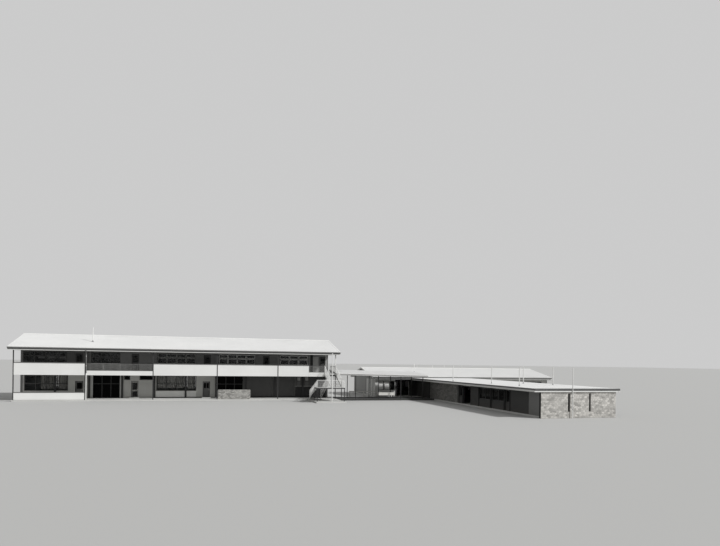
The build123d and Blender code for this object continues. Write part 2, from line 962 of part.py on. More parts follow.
# Handrails and bars of the stair
with BuildPart() as stair_balustrades:
    for x in (upper_flight_x[0] + stringer / 2, upper_flight_x[1] - stringer / 2):
        base = upper_foot + stringer_above
        railing_along_y(x, (landing_back, front_y), base, base + railing_height, fall=upper_fall)
    for x in (lower_flight_x[0] + stringer / 2, lower_flight_x[1] - stringer / 2):
        base = landing_level + stringer_above
        railing_along_y(x, (landing_back, lower_end), base, base + railing_height, fall=lower_fall)
    landing_rail = landing_level + railing_height
    for x in (landing_x[0] + railing_depth / 2, landing_x[1] - railing_depth / 2):
        railing_along_y(x, (landing_y[0] + railing_depth, landing_y[1]), landing_level, landing_rail)
export(stair_balustrades, "stair_balustrades")

with BuildPart() as landing_balustrades:
    railing_along_x(landing_x, landing_y[0] + railing_depth / 2, landing_level, landing_rail)
    railing_along_x(
        (lower_flight_x[1], upper_flight_x[0]),
        landing_y[1] - railing_depth / 2,
        landing_level,
        landing_rail,
    )
export(landing_balustrades, "landing_balustrades")

# Tall pole against the landing
with BuildPart() as stair_mast:
    with BuildSketch(Plane.XY.offset(floor_level)):
        with Locations(((stair_left + lower_flight_x[1]) / 2 + mast_shift, landing_y[0] - mast_radius)):
            Circle(mast_radius)
    extrude(amount=mast_top - floor_level)
export(stair_mast, "stair_mast")

# Floor of the covered way
front_wing_x = (right_x + front_wing_roof_left, right_x + front_wing_roof_left + front_wing_roof_width)
front_wall_left = front_wing_x[0] + front_wing_eaves
front_wall_right = front_wing_x[1] - front_wing_right_eaves
with BuildPart() as way_floor:
    block(
        (slab_right, front_wall_left - front_wing_side),
        (front_y - way_row_front - way_beam_width * 2, front_y + way_back),
        (0, floor_level),
    )
export(way_floor, "way_floor")

# Sloping roof of the covered way, with its beams and posts
way_length = way_roof_right - post / 2
way_under = Plane(
    origin=(right_x + post / 2, front_y - way_front, way_front_height - way_sheet),
    x_dir=(way_length, 0, -way_fall),
    z_dir=Vector(way_length, 0, -way_fall).cross(Vector(0, way_front + way_back, way_rise)),
)
with BuildPart() as way_roof:
    with BuildSketch(way_under):
        Rectangle(way_length, way_front + way_back, align=(Align.MIN, Align.MIN))
    extrude(amount=way_sheet)
export(way_roof, "way_roof")

way_rows = (front_y - way_row_front, front_y + way_row_back)
with BuildPart() as way_beams:
    with BuildSketch(way_under):
        for y in way_rows:
            with Locations((way_length / 2, y - front_y + way_front)):
                Rectangle(way_length, way_beam_width)
    extrude(amount=-way_beam)
export(way_beams, "way_beams")

way_post_x = [right_x + way_post_first + index * way_post_pitch for index in range(way_post_count)]
with BuildPart() as way_posts:
    for y in way_rows:
        for x in way_post_x:
            block(
                (x - way_beam_width / 2, x + way_beam_width / 2),
                (y - way_beam_width / 2, y + way_beam_width / 2),
                (floor_level, way_front_height + way_rise),
            )
    split(bisect_by=way_under.offset(-way_beam), keep=Keep.BOTTOM)
export(way_posts, "way_posts")

# Long bench with a back rail beside the covered way's rear posts
bench_x = (right_x + bench_first, right_x + bench_first + bench_length)
bench_back = way_rows[1] - way_beam_width / 2
with BuildPart() as way_bench:
    seat_z = floor_level + bench_seat_height
    rail_z = floor_level + bench_rail_height
    block(bench_x, (bench_back - bench_depth, bench_back), (seat_z - bench_plank, seat_z))
    block(bench_x, (bench_back - bench_plank, bench_back), (rail_z - 2 * bench_plank, rail_z))
    for x in (bench_x[0], middle(bench_x) - bench_plank / 2, bench_x[1] - bench_plank):
        block((x, x + bench_plank), (bench_back - bench_plank, bench_back), (floor_level, rail_z))
        block(
            (x, x + bench_plank),
            (bench_back - bench_depth, bench_back - bench_depth + bench_plank),
            (floor_level, seat_z),
        )
export(way_bench, "way_bench")

# Floor of the front wing
front_wing_y = (front_y - front_wing_projection, rear_wing_y[0])
stone_wall_y = front_wing_y[0] + front_wing_front_eaves
side_wall_y = (stone_wall_y + stone_end_thickness, rear_long_y[0])
with BuildPart() as front_wing_floor:
    block(
        (front_wall_left - front_wing_side, front_wall_right + front_wing_side),
        (side_wall_y[0], rear_long_y[0] - front_wing_side),
        (0, floor_level),
    )
export(front_wing_floor, "front_wing_floor")

# Side wall of the front wing that faces the court
left_side_x = (front_wall_left, front_wall_left + wall)
right_side_x = (front_wall_right - wall, front_wall_right)
front_wing_z = (floor_level, front_wing_wall_height)
junction_y = (rear_wing_y[0], rear_long_y[0])
junction_z = (front_wing_wall_height, rear_wing_wall_height)
window_z = (wing_window_sill, wing_window_head)
side_holes = []
for offset, width in side_windows:
    high = front_y - offset
    side_holes.append(((high - width, high), window_z))
lobby_y = (front_y - lobby_offset - lobby_width, front_y - lobby_offset)
with BuildPart() as court_wall:
    for span in ((side_wall_y[0], lobby_y[0]), (lobby_y[1], side_wall_y[1])):
        inside = [hole for hole in side_holes if span[0] < middle(hole[0]) < span[1]]
        wall_along_y(left_side_x, span, front_wing_z, inside)
    block(left_side_x, junction_y, junction_z)
export(court_wall, "court_wall")

# Wall over each ground-floor door and over the court lobby
with BuildPart() as door_lintels:
    for x in door_x:
        block((x, x + door_opening), front_wall_y, (door_head, floor_underside))
    block(left_side_x, lobby_y, (wing_window_head, front_wing_wall_height))
export(door_lintels, "door_lintels")

# Rubble stone end wall of the front wing, with two slots
with BuildPart() as stone_end_wall:
    slots = []
    for offset, width in stone_slots:
        low = front_wall_left + offset
        slots.append(((low, low + width), (wing_slot_sill, wing_window_head)))
    wall_along_x(
        (front_wall_left - stone_end_margin, front_wall_right + stone_end_margin),
        (stone_wall_y, side_wall_y[0]),
        (0, front_wing_wall_height),
        slots,
    )
export(stone_end_wall, "stone_end_wall")

# Outer side wall of the front wing
outer_spans = row_of_spans(*side_wall_y, outer_window_count, outer_window_share)
outer_holes = [(span, window_z) for span in outer_spans]
with BuildPart() as outer_side_wall:
    wall_along_y(right_side_x, side_wall_y, front_wing_z, outer_holes)
    block(right_side_x, junction_y, junction_z)
export(outer_side_wall, "outer_side_wall")

# Flat roof of the front wing, a deck with a turned-down edge
with BuildPart() as front_wing_roof:
    block(front_wing_x, front_wing_y, (front_wing_wall_height, front_wing_eaves_level))
    block(
        (front_wing_x[0] + fascia_board, front_wing_x[1] - fascia_board),
        (front_wing_y[0] + fascia_board, front_wing_y[1] - fascia_board),
        (front_wing_wall_height, front_wing_eaves_level - front_wing_tray),
        Mode.SUBTRACT,
    )
export(front_wing_roof, "front_wing_roof")

# Ceiling of the front wing and the soffit of its eaves
with BuildPart() as front_wing_ceiling:
    block(
        (front_wing_x[0] + fascia_board, front_wing_x[1] - fascia_board),
        (front_wing_y[0] + fascia_board, front_wing_y[1] - fascia_board),
        (front_wing_wall_height, front_wing_wall_height + ceiling_sheet),
    )
export(front_wing_ceiling, "front_wing_ceiling")

# Floor, walls and ceiling of the rear wing
with BuildPart() as rear_wing_floor:
    block(
        (rear_wall_x[0] - front_wing_side, rear_wall_x[1] + front_wing_side),
        (rear_long_y[0] - front_wing_side, rear_long_y[1] + front_wing_side),
        (0, floor_level),
    )
export(rear_wing_floor, "rear_wing_floor")

rear_wing_z = (floor_level, rear_wing_wall_height)
rear_inner_x = (rear_wall_x[0] + wall, rear_wall_x[1] - wall)
rear_lobby_x = (front_wing_x[0] - rear_lobby_offset, front_wing_x[0] - rear_lobby_offset + lobby_width)
rear_lobby_hole = (rear_lobby_x, (floor_level, wing_window_head))
rear_front_spans = []
for offset, width in rear_wing_front_windows:
    low = rear_inner_x[0] + offset
    rear_front_spans.append((low, low + width))
rear_front_spans += row_of_spans(
    front_wall_right, rear_inner_x[1], rear_wing_right_count, outer_window_share
)
rear_back_spans = row_of_spans(*rear_inner_x, rear_wing_back_count, rear_wing_back_share)
rear_front_holes = [(span, window_z) for span in rear_front_spans]
rear_back_holes = [(span, window_z) for span in rear_back_spans]
with BuildPart() as rear_wing_long_walls:
    front_cuts = rear_front_holes + [rear_lobby_hole]
    wall_along_x(rear_inner_x, (rear_long_y[0], rear_long_y[0] + wall), rear_wing_z, front_cuts)
    wall_along_x(rear_inner_x, (rear_long_y[1] - wall, rear_long_y[1]), rear_wing_z, rear_back_holes)
export(rear_wing_long_walls, "rear_wing_long_walls")

with BuildPart() as rear_wing_gable_walls:
    for x in ((rear_wall_x[0], rear_inner_x[0]), (rear_inner_x[1], rear_wall_x[1])):
        section_along_x(
            (
                (rear_long_y[0], floor_level),
                (rear_long_y[1], floor_level),
                (rear_long_y[1], rear_under(rear_long_y[1])),
                (rear_ridge_y, rear_under(rear_ridge_y)),
                (rear_long_y[0], rear_under(rear_long_y[0])),
            ),
            x,
        )
export(rear_wing_gable_walls, "rear_wing_gable_walls")

with BuildPart() as rear_wing_ceiling:
    block(
        rear_inner_x,
        (
            rear_wing_y[0] + gutter_width + fascia_board,
            rear_wing_y[1] - gutter_width - fascia_board,
        ),
        (rear_wing_wall_height, rear_wing_wall_height + ceiling_sheet),
    )
export(rear_wing_ceiling, "rear_wing_ceiling")


def vent(x, y, foot, top):
    """Add a pipe from a foot that the roof may then cut off."""
    with BuildSketch(Plane.XY.offset(foot)) as pipe:
        with Locations((x, y)):
            RegularPolygon(vent_radius, pipe_sides)
    extrude(pipe.sketch, amount=top - foot)


def collar(x, y, seat):
    """Add the flashing round a pipe, from below the roof face to just above it."""
    with BuildSketch(Plane.XY.offset(seat - flashing_height)) as ring:
        with Locations((x, y)):
            RegularPolygon(flashing_radius, pipe_sides)
    extrude(ring.sketch, amount=2 * flashing_height)


def trim_under_roof(eaves, ridge, top, x):
    """Cut away what lies below the top faces of a gable roof."""
    section_along_x(
        (
            (eaves[0], 0),
            (eaves[1], 0),
            (eaves[1], top(eaves[1])),
            (ridge, top(ridge)),
            (eaves[0], top(eaves[0])),
        ),
        x,
        Mode.SUBTRACT,
    )


# Vent pipes on the roofs, and the one that climbs the stone end wall
with BuildPart() as roof_vents:
    for offset, distance, height in main_vents:
        x = grid_x[1] + offset
        y = main_eaves_y[0] + distance
        vent(x, y, main_top(y) - vent_foot, main_top(y) + height)
        collar(x, y, main_top(y))
    for offset, distance, height in rear_wing_vents:
        x = rear_wing_x[0] + offset
        y = rear_wing_y[0] + distance
        vent(x, y, rear_top(y) - vent_foot, rear_top(y) + height)
        collar(x, y, rear_top(y))
    trim_under_roof(main_eaves_y, ridge_y, main_top, main_verge_x)
    trim_under_roof(rear_wing_y, rear_ridge_y, rear_top, rear_wing_x)
    for offset, distance, height in front_wing_vents:
        x = front_wing_x[0] + offset
        y = front_wing_y[0] + distance
        vent(x, y, front_wing_eaves_level, front_wing_eaves_level + height)
    vent(
        front_wing_x[0] + wall_vent_offset,
        front_wing_y[0] - vent_radius,
        0,
        front_wing_eaves_level + front_wing_vents[0][2],
    )
export(roof_vents, "roof_vents")

# Window frames and glass of the single-storey wings
glass_start = window_setback + window_frame_depth
side_rows = ((side_holes, left_side_x[0], 1), (outer_holes, right_side_x[1], -1))
long_rows = ((rear_front_holes, rear_long_y[0], 1), (rear_back_holes, rear_long_y[1], -1))
with BuildPart() as wing_window_frames:
    for holes, face, inward in side_rows:
        depth = face_depth(face, inward, window_setback, window_frame_depth)
        for y, z in holes:
            wall_along_y(depth, y, z, panes(y, z))
    for holes, face, inward in long_rows:
        depth = face_depth(face, inward, window_setback, window_frame_depth)
        for x, z in holes:
            wall_along_x(x, depth, z, panes(x, z))
export(wing_window_frames, "wing_window_frames")

with BuildPart() as wing_glass:
    for holes, face, inward in side_rows:
        depth = face_depth(face, inward, glass_start, glass_sheet)
        for y, z in holes:
            block(depth, y, z)
    for holes, face, inward in long_rows:
        depth = face_depth(face, inward, glass_start, glass_sheet)
        for x, z in holes:
            block(x, depth, z)
    for x, z in slots:
        block(x, face_depth(stone_wall_y, 1, glass_start, glass_sheet), z)
export(wing_glass, "wing_glass")
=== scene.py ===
"""Looks of a school building: cladding, stone, glazing, railings, stair and fittings.

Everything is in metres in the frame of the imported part: X runs along the two-storey
block, Y to the back and Z up from the ground.
"""

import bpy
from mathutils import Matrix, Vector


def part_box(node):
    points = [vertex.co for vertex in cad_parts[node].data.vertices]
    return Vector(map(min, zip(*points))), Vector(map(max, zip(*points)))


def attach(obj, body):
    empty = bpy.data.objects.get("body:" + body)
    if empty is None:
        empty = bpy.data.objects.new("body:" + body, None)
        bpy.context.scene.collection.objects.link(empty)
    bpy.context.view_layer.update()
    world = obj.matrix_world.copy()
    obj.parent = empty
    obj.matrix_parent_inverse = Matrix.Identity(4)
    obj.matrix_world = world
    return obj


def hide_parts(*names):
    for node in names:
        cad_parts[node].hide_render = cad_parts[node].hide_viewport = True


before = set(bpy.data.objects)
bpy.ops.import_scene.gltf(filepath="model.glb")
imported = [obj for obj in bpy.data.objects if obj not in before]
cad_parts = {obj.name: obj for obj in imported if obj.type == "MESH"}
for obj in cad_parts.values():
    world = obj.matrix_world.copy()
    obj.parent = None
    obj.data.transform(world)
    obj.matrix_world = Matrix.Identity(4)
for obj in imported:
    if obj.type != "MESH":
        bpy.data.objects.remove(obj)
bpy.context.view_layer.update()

import logging
import math
from dataclasses import dataclass, field
from enum import Enum
from typing import Sequence

import bpy
import numpy as np
from mathutils import Matrix, Vector

log = logging.getLogger("school_building")
Array = np.ndarray
Rgb = tuple[float, float, float]
Span = tuple[float, float]
Point = tuple[float, float, float]
Socket = bpy.types.NodeSocket
BUILDING = "building"
ALONG = np.array((1.0, 0.0, 0.0))
BACK = np.array((0.0, 1.0, 0.0))
UP = np.array((0.0, 0.0, 1.0))
NEAR = 0.01  # faces closer than this count as one


class Axis(Enum):
    """The horizontal direction that something runs along."""

    X = 0
    Y = 1


class Side(Enum):
    """The way a wall face looks, as its outward unit vector."""

    FRONT = (0.0, -1.0, 0.0)
    BACK = (0.0, 1.0, 0.0)
    LEFT = (-1.0, 0.0, 0.0)
    RIGHT = (1.0, 0.0, 0.0)

    @property
    def outward(self) -> Array:
        """Unit vector that points out of the wall."""
        return np.array(self.value)

    @property
    def axis(self) -> Axis:
        """The direction that the wall runs along."""
        return Axis.X if self.value[0] == 0 else Axis.Y


@dataclass
class Shell:
    """Points and faces of a surface, with an optional pair of values at each point."""

    points: Array
    faces: list[Array]
    values: Array | None = None


@dataclass(frozen=True)
class Box:
    """Lowest and highest corner of something, as arrays."""

    low: Array
    high: Array

    @property
    def centre(self) -> Array:
        """Middle of the box."""
        return (self.low + self.high) / 2

    @property
    def size(self) -> Array:
        """Extents of the box."""
        return self.high - self.low

    @property
    def hole(self) -> tuple[float, float, float, float]:
        """The box seen from the front, as (x0, x1, z0, z1)."""
        return self.low[0], self.high[0], self.low[2], self.high[2]


def box_of(node: str) -> Box:
    """Box of a node of the frame."""
    low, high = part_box(node)
    return Box(np.array(low), np.array(high))


def solids_of(node: str) -> list[Array]:
    """Find the points of each separate solid in a node.

    Equal points are merged, and each point takes the lowest label among its triangle's
    corners again and again, until the labels are the same all over each solid.

    Args:
        node: Name of the node.

    Returns:
        One array of points for each solid, ordered by its lowest X.
    """
    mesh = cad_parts[node].data
    points = np.zeros(len(mesh.vertices) * 3)
    mesh.vertices.foreach_get("co", points)
    corners = np.zeros(len(mesh.polygons) * 3, int)
    mesh.polygons.foreach_get("vertices", corners)
    merged, place = np.unique(points.reshape(-1, 3).round(5), axis=0, return_inverse=True)
    triangles = place.ravel()[corners].reshape(-1, 3)
    labels = np.arange(len(merged))
    while True:
        lowest = labels[triangles].min(axis=1)
        spread = labels.copy()
        np.minimum.at(spread, triangles.ravel(), np.repeat(lowest, 3))
        if np.array_equal(spread, labels):
            break
        labels = spread
    groups = [merged[labels == label] for label in np.unique(labels)]
    return sorted(groups, key=lambda group: (group[:, 0].min(), group[:, 2].min()))


def boxes_of(node: str) -> list[Box]:
    """Boxes of a node's separate solids, from left to right."""
    return [Box(points.min(0), points.max(0)) for points in solids_of(node)]


def at(x: Array | float, y: Array | float, z: Array | float) -> Array:
    """Points from coordinates, where a single number serves all of them."""
    return np.stack(np.broadcast_arrays(x, y, z), axis=-1).astype(float)


def join(shells: Sequence[Shell]) -> Shell:
    """Put several shells into one.

    Args:
        shells: The shells, all with values or all without.

    Returns:
        One shell with the points and faces of all of them.
    """
    offset = 0
    faces = []
    for shell in shells:
        faces += [group + offset for group in shell.faces]
        offset += len(shell.points)
    points = np.concatenate([shell.points for shell in shells])
    if shells[0].values is None:
        return Shell(points, faces)
    return Shell(points, faces, np.concatenate([shell.values for shell in shells]))


def surface(points: Array, closed: bool = False, values: Array | None = None) -> Shell:
    """Make quads over a grid of points.

    The quad at (i, j) has the corners (i, j), (i+1, j), (i+1, j+1) and (i, j+1), so it
    faces along the cross product of the two grid directions.

    Args:
        points: Grid of points, of shape (rows, columns, 3).
        closed: True where the last row joins the first.
        values: Values at the points, of shape (rows, columns, 2).

    Returns:
        The shell of the grid.
    """
    rows, columns = points.shape[:2]
    index = np.arange(rows * columns).reshape(rows, columns)
    if closed:
        index = np.vstack((index, index[:1]))
    quads = np.stack((index[:-1, :-1], index[1:, :-1], index[1:, 1:], index[:-1, 1:]), axis=-1)
    flat = None if values is None else values.reshape(-1, 2)
    return Shell(points.reshape(-1, 3), [quads.reshape(-1, 4)], flat)


def rods(starts: Array, ends: Array, side: Array, depth: Array) -> Shell:
    """Make square bars between pairs of points.

    The corners of a bar are its start and end, plus and minus the half width vector and
    plus and minus the half depth vector.

    Args:
        starts: Start points, of shape (n, 3).
        ends: End points, of shape (n, 3).
        side: Half of the width, as a vector.
        depth: Half of the depth, as a vector.

    Returns:
        One shell with all the bars.
    """
    starts, ends = np.atleast_2d(starts), np.atleast_2d(ends)
    ring = np.array((-side - depth, side - depth, side + depth, -side + depth))
    points = np.stack((starts[:, None] + ring, ends[:, None] + ring), axis=1).reshape(-1, 3)
    faces = np.array(
        ((0, 1, 5, 4), (1, 2, 6, 5), (2, 3, 7, 6), (3, 0, 4, 7), (3, 2, 1, 0), (4, 5, 6, 7))
    )
    if np.dot(np.cross(side, depth), ends[0] - starts[0]) < 0:
        faces = faces[:, ::-1]
    base = 8 * np.arange(len(starts))
    return Shell(points, [(base[:, None, None] + faces).reshape(-1, 4)])


def blocks(lows: Array, highs: Array) -> Shell:
    """Make upright blocks between pairs of corners.

    Args:
        lows: Lowest corners, of shape (n, 3).
        highs: Highest corners, of shape (n, 3).

    Returns:
        One shell with all the blocks.
    """
    lows, highs = np.atleast_2d(lows).astype(float), np.atleast_2d(highs).astype(float)
    middle = (lows + highs) / 2
    half = (highs - lows) / 2
    choice = np.array([(x, y, z) for x in (-1, 1) for y in (-1, 1) for z in (-1, 1)])
    points = (middle[:, None] + half[:, None] * choice).reshape(-1, 3)
    faces = np.array(
        ((0, 1, 3, 2), (4, 6, 7, 5), (0, 4, 5, 1), (2, 3, 7, 6), (0, 2, 6, 4), (1, 5, 7, 3))
    )
    base = 8 * np.arange(len(lows))
    return Shell(points, [(base[:, None, None] + faces).reshape(-1, 4)])


def prism(profile: Array | Sequence[Span], start: Array, end: Array, outward: Array) -> Shell:
    """Carry a closed profile from one point to another and cap both ends.

    A point is the start or the end, plus the outward vector times the profile's first
    column, plus the up vector times its second.

    Args:
        profile: Corners of the profile, of shape (n, 2).
        start: Where the profile's origin starts.
        end: Where it ends.
        outward: Direction of the profile's first column.

    Returns:
        The closed shell.
    """
    profile, start, end = (np.asarray(value, float) for value in (profile, start, end))
    x, y = profile.T
    area = np.sum(x * np.roll(y, -1) - y * np.roll(x, -1))
    if area * np.dot(np.cross(outward, UP), end - start) < 0:
        profile = profile[::-1]
    offset = profile[:, :1] * outward + profile[:, 1:] * UP
    shell = surface(np.stack((start + offset, end + offset), axis=1), closed=True)
    cap = 2 * np.arange(len(profile))[None]
    return Shell(shell.points, [*shell.faces, cap[:, ::-1], cap + 1])


def tube(path: Array, radius: float, sides: int = 16) -> Shell:
    """Carry a circle along a path that lies in one upright plane, and cap both ends.

    A ring's points are the path's point, plus the radius times the cosine of the angle
    along the level vector, plus its sine along the cross product with the tangent.

    Args:
        path: Points of the path, of shape (n, 3).
        radius: Radius of the circle.
        sides: Points on the circle.

    Returns:
        The closed shell.
    """
    tangent = np.gradient(path, axis=0)
    tangent /= np.linalg.norm(tangent, axis=1, keepdims=True)
    spread = path[-1] - path[0]
    level = np.array((-spread[1], spread[0], 0.0))
    if np.linalg.norm(level) < 1e-6:
        level = ALONG.copy()
    level /= np.linalg.norm(level)
    across = np.cross(tangent, level)
    angle = np.linspace(0, 2 * math.pi, sides, endpoint=False)[:, None, None]
    shell = surface(path + radius * (np.cos(angle) * level + np.sin(angle) * across), closed=True)
    count = len(path)
    first = count * np.arange(sides)[None]
    return Shell(shell.points, [shell.faces[0][:, ::-1], first, first[:, ::-1] + count - 1])


def pipe(x: float, y: float, low: float, high: float, radius: float, sides: int = 20) -> Shell:
    """Make an upright pipe round a place in plan, between two levels."""
    return tube(at(x, y, np.array((low, high))), radius, sides)


def revolve(x: float, y: float, profile: Array | Sequence[Span], sides: int = 24) -> Shell:
    """Turn a profile of radii and levels round an upright axis.

    Args:
        x: Place of the axis.
        y: Place of the axis.
        profile: Rows of (radius, level), from the outside bottom to the top.
        sides: Points on each circle.

    Returns:
        The open shell.
    """
    angle = np.linspace(0, 2 * math.pi, sides, endpoint=False)[:, None]
    radius, level = np.asarray(profile).T
    return surface(at(x + radius * np.cos(angle), y + radius * np.sin(angle), level), closed=True)


def outside(quads: Array, u: Array, v: Array, holes: Sequence[tuple]) -> Array:
    """Keep the quads whose middle lies in no hole.

    Args:
        quads: Corners of the quads, of shape (n, 4).
        u: Place of each grid point along the wall.
        v: Its place up the wall.
        holes: Rectangles to leave open, as (u0, u1, v0, v1).

    Returns:
        The quads that stay.
    """
    middle_u, middle_v = (place.ravel()[quads].mean(axis=1) for place in (u, v))
    keep = np.ones(len(quads), bool)
    for u0, u1, v0, v1 in holes:
        keep &= ~((middle_u > u0) & (middle_u < u1) & (middle_v > v0) & (middle_v < v1))
    return quads[keep]


def cover(side: Side, depth: float, run: Span, rise: Span, holes: Sequence[tuple] = ()) -> Shell:
    """Tile an upright rectangle with quads, except where a hole is.

    The grid's lines are the edges of the rectangle and of the holes.

    Args:
        side: The way the rectangle looks.
        depth: Its place across the wall.
        run: Where it starts and ends along the wall.
        rise: Its lowest and highest level.
        holes: Rectangles to leave open, as (run0, run1, level0, level1).

    Returns:
        The open shell, which a Solidify modifier makes a board.
    """
    lines = []
    for limits, edges in ((run, [hole[:2] for hole in holes]), (rise, [hole[2:] for hole in holes])):
        lines.append(np.unique(np.clip([*limits, *(e for pair in edges for e in pair)], *limits).round(5)))
    u, v = np.meshgrid(*lines, indexing="ij")
    shell = surface(at(u, depth, v) if side.axis is Axis.X else at(depth, u, v))
    quads = outside(shell.faces[0], u, v, holes)
    if side in (Side.BACK, Side.LEFT):
        quads = quads[:, ::-1]
    used, place = np.unique(quads, return_inverse=True)
    return Shell(shell.points[used], [place.reshape(-1, 4)])


def rim(x: Span, z: Span, y: Span, wide: float) -> list[Shell]:
    """Frame an upright rectangle that looks to the front with four flat members.

    Args:
        x: Left and right edge of the rectangle.
        z: Its lowest and highest level.
        y: Front and back of the members.
        wide: Width of a member.

    Returns:
        The foot, the head and the two sides.
    """
    (x0, x1), (z0, z1) = x, z
    return [
        blocks((a, y[0], b), (c, y[1], d))
        for a, b, c, d in (
            (x0 - wide, z0 - wide, x1 + wide, z0),
            (x0 - wide, z1, x1 + wide, z1 + wide),
            (x0 - wide, z0, x0, z1),
            (x1, z0, x1 + wide, z1),
        )
    ]


class Graph:
    """Node tree of one material, with its shader and its object coordinates."""

    def __init__(self, name: str) -> None:
        """Start an empty material.

        Args:
            name: Name of the material.
        """
        self.material = bpy.data.materials.new(name)
        self.material.use_nodes = True
        self.tree = self.material.node_tree
        self.tree.nodes.clear()
        self.shader = self.tree.nodes.new("ShaderNodeBsdfPrincipled")
        output = self.tree.nodes.new("ShaderNodeOutputMaterial")
        self.tree.links.new(self.shader.outputs[0], output.inputs["Surface"])
        self.coordinates = self.add("TexCoord", {}, "Object")

    def feed(self, socket: Socket, value: object) -> None:
        """Link an output to an input, or set the input's own value.

        Args:
            socket: The input.
            value: An output socket, a number or a colour.
        """
        if isinstance(value, Socket):
            self.tree.links.new(value, socket)
        elif isinstance(value, tuple):
            socket.default_value = (*value, 1.0)[: len(socket.default_value)]
        else:
            socket.default_value = value

    def add(self, kind: str, inputs: dict, output: int | str = 0, **options: object) -> Socket:
        """Add a node, set it up and feed it.

        Args:
            kind: Blender's name of the node, after the words that all names start with.
            inputs: Numbers, colours or sockets by the name or place of the input.
            output: Name or place of the output that is wanted.
            options: The node's own settings.

        Returns:
            The output's socket.
        """
        node = self.tree.nodes.new("ShaderNode" + kind)
        for name, option in options.items():
            setattr(node, name, option)
        for name, value in inputs.items():
            self.feed(node.inputs[name], value)
        return node.outputs[output]

    def dress(self, values: dict[str, object]) -> None:
        """Feed the shader's inputs by their names."""
        for name, value in values.items():
            self.feed(self.shader.inputs[name], value)

    def math(self, operation: str, *values: object) -> Socket:
        """Work out one sum of numbers or sockets, by Blender's name of the operation."""
        return self.add("Math", dict(enumerate(values)), operation=operation)

    def noise(self, scale: float, detail: float = 3.0, stretch: Point = (1.0, 1.0, 1.0)) -> Socket:
        """Add fractal noise, with features per metre, octaves and a scale along each axis."""
        place = self.add("Mapping", {"Vector": self.coordinates, "Scale": stretch})
        return self.add("TexNoise", {"Vector": place, "Scale": scale, "Detail": detail}, "Fac")

    def span(self, value: Socket, low: float, high: float) -> Socket:
        """Map a value softly to 0 at low and beyond it, and to 1 at high and beyond it."""
        inputs = {"Value": value, "From Min": low, "From Max": high}
        return self.add("MapRange", inputs, interpolation_type="SMOOTHSTEP")

    def mix(self, factor: Socket, first: object, second: object) -> Socket:
        """Mix two colours; the factor is the share of the second."""
        return self.add("Mix", {0: factor, 6: first, 7: second}, 2, data_type="RGBA")

    def tint(self, colour: object, mask: Socket, share: float, other: object) -> Socket:
        """Mix a share of another colour in where a mask is high."""
        return self.mix(self.math("MULTIPLY", mask, share), colour, other)

    def attribute(self, name: str) -> Socket:
        """Read a value that is stored at the mesh's points."""
        return self.add("Attribute", {}, "Fac", attribute_name=name)

    def axis(self, index: int) -> Socket:
        """Read one object coordinate."""
        return self.add("SeparateXYZ", {0: self.coordinates}, index)

    def strips(self, index: int, width: float) -> tuple[Socket, Socket]:
        """Divide an axis into strips of one width.

        Args:
            index: The axis.
            width: Width of a strip.

        Returns:
            A random value for each strip, and the distance from its middle over its width.
        """
        place = self.math("DIVIDE", self.axis(index), width)
        strip = self.math("FLOOR", place)
        chance = self.add("TexWhiteNoise", {"W": strip}, "Value", noise_dimensions="1D")
        return chance, self.math("ABSOLUTE", self.math("SUBTRACT", self.math("FRACT", place), 0.5))

    def bump(self, height: Socket, distance: float) -> None:
        """Bump the shader's normal by a height from 0 to 1, and its distance in metres."""
        self.dress({"Normal": self.add("Bump", {"Distance": distance, "Height": height})})


def shade(colour: Rgb, factor: float) -> Rgb:
    """Darken or lighten a colour by a factor."""
    return tuple(min(1.0, channel * factor) for channel in colour)


@dataclass(frozen=True)
class Coat:
    """Anything that gives a piece its material."""

    name: str
    colour: Rgb

    def dress(self, graph: Graph) -> None:
        """Dress a new material's nodes; each kind of coat does it in its own way."""

    def material(self) -> bpy.types.Material:
        """Make the material, or find it where it was made before.

        Returns:
            The material.
        """
        found = bpy.data.materials.get(self.name)
        if found is None:
            graph = Graph(self.name)
            self.dress(graph)
            found = graph.material
        return found


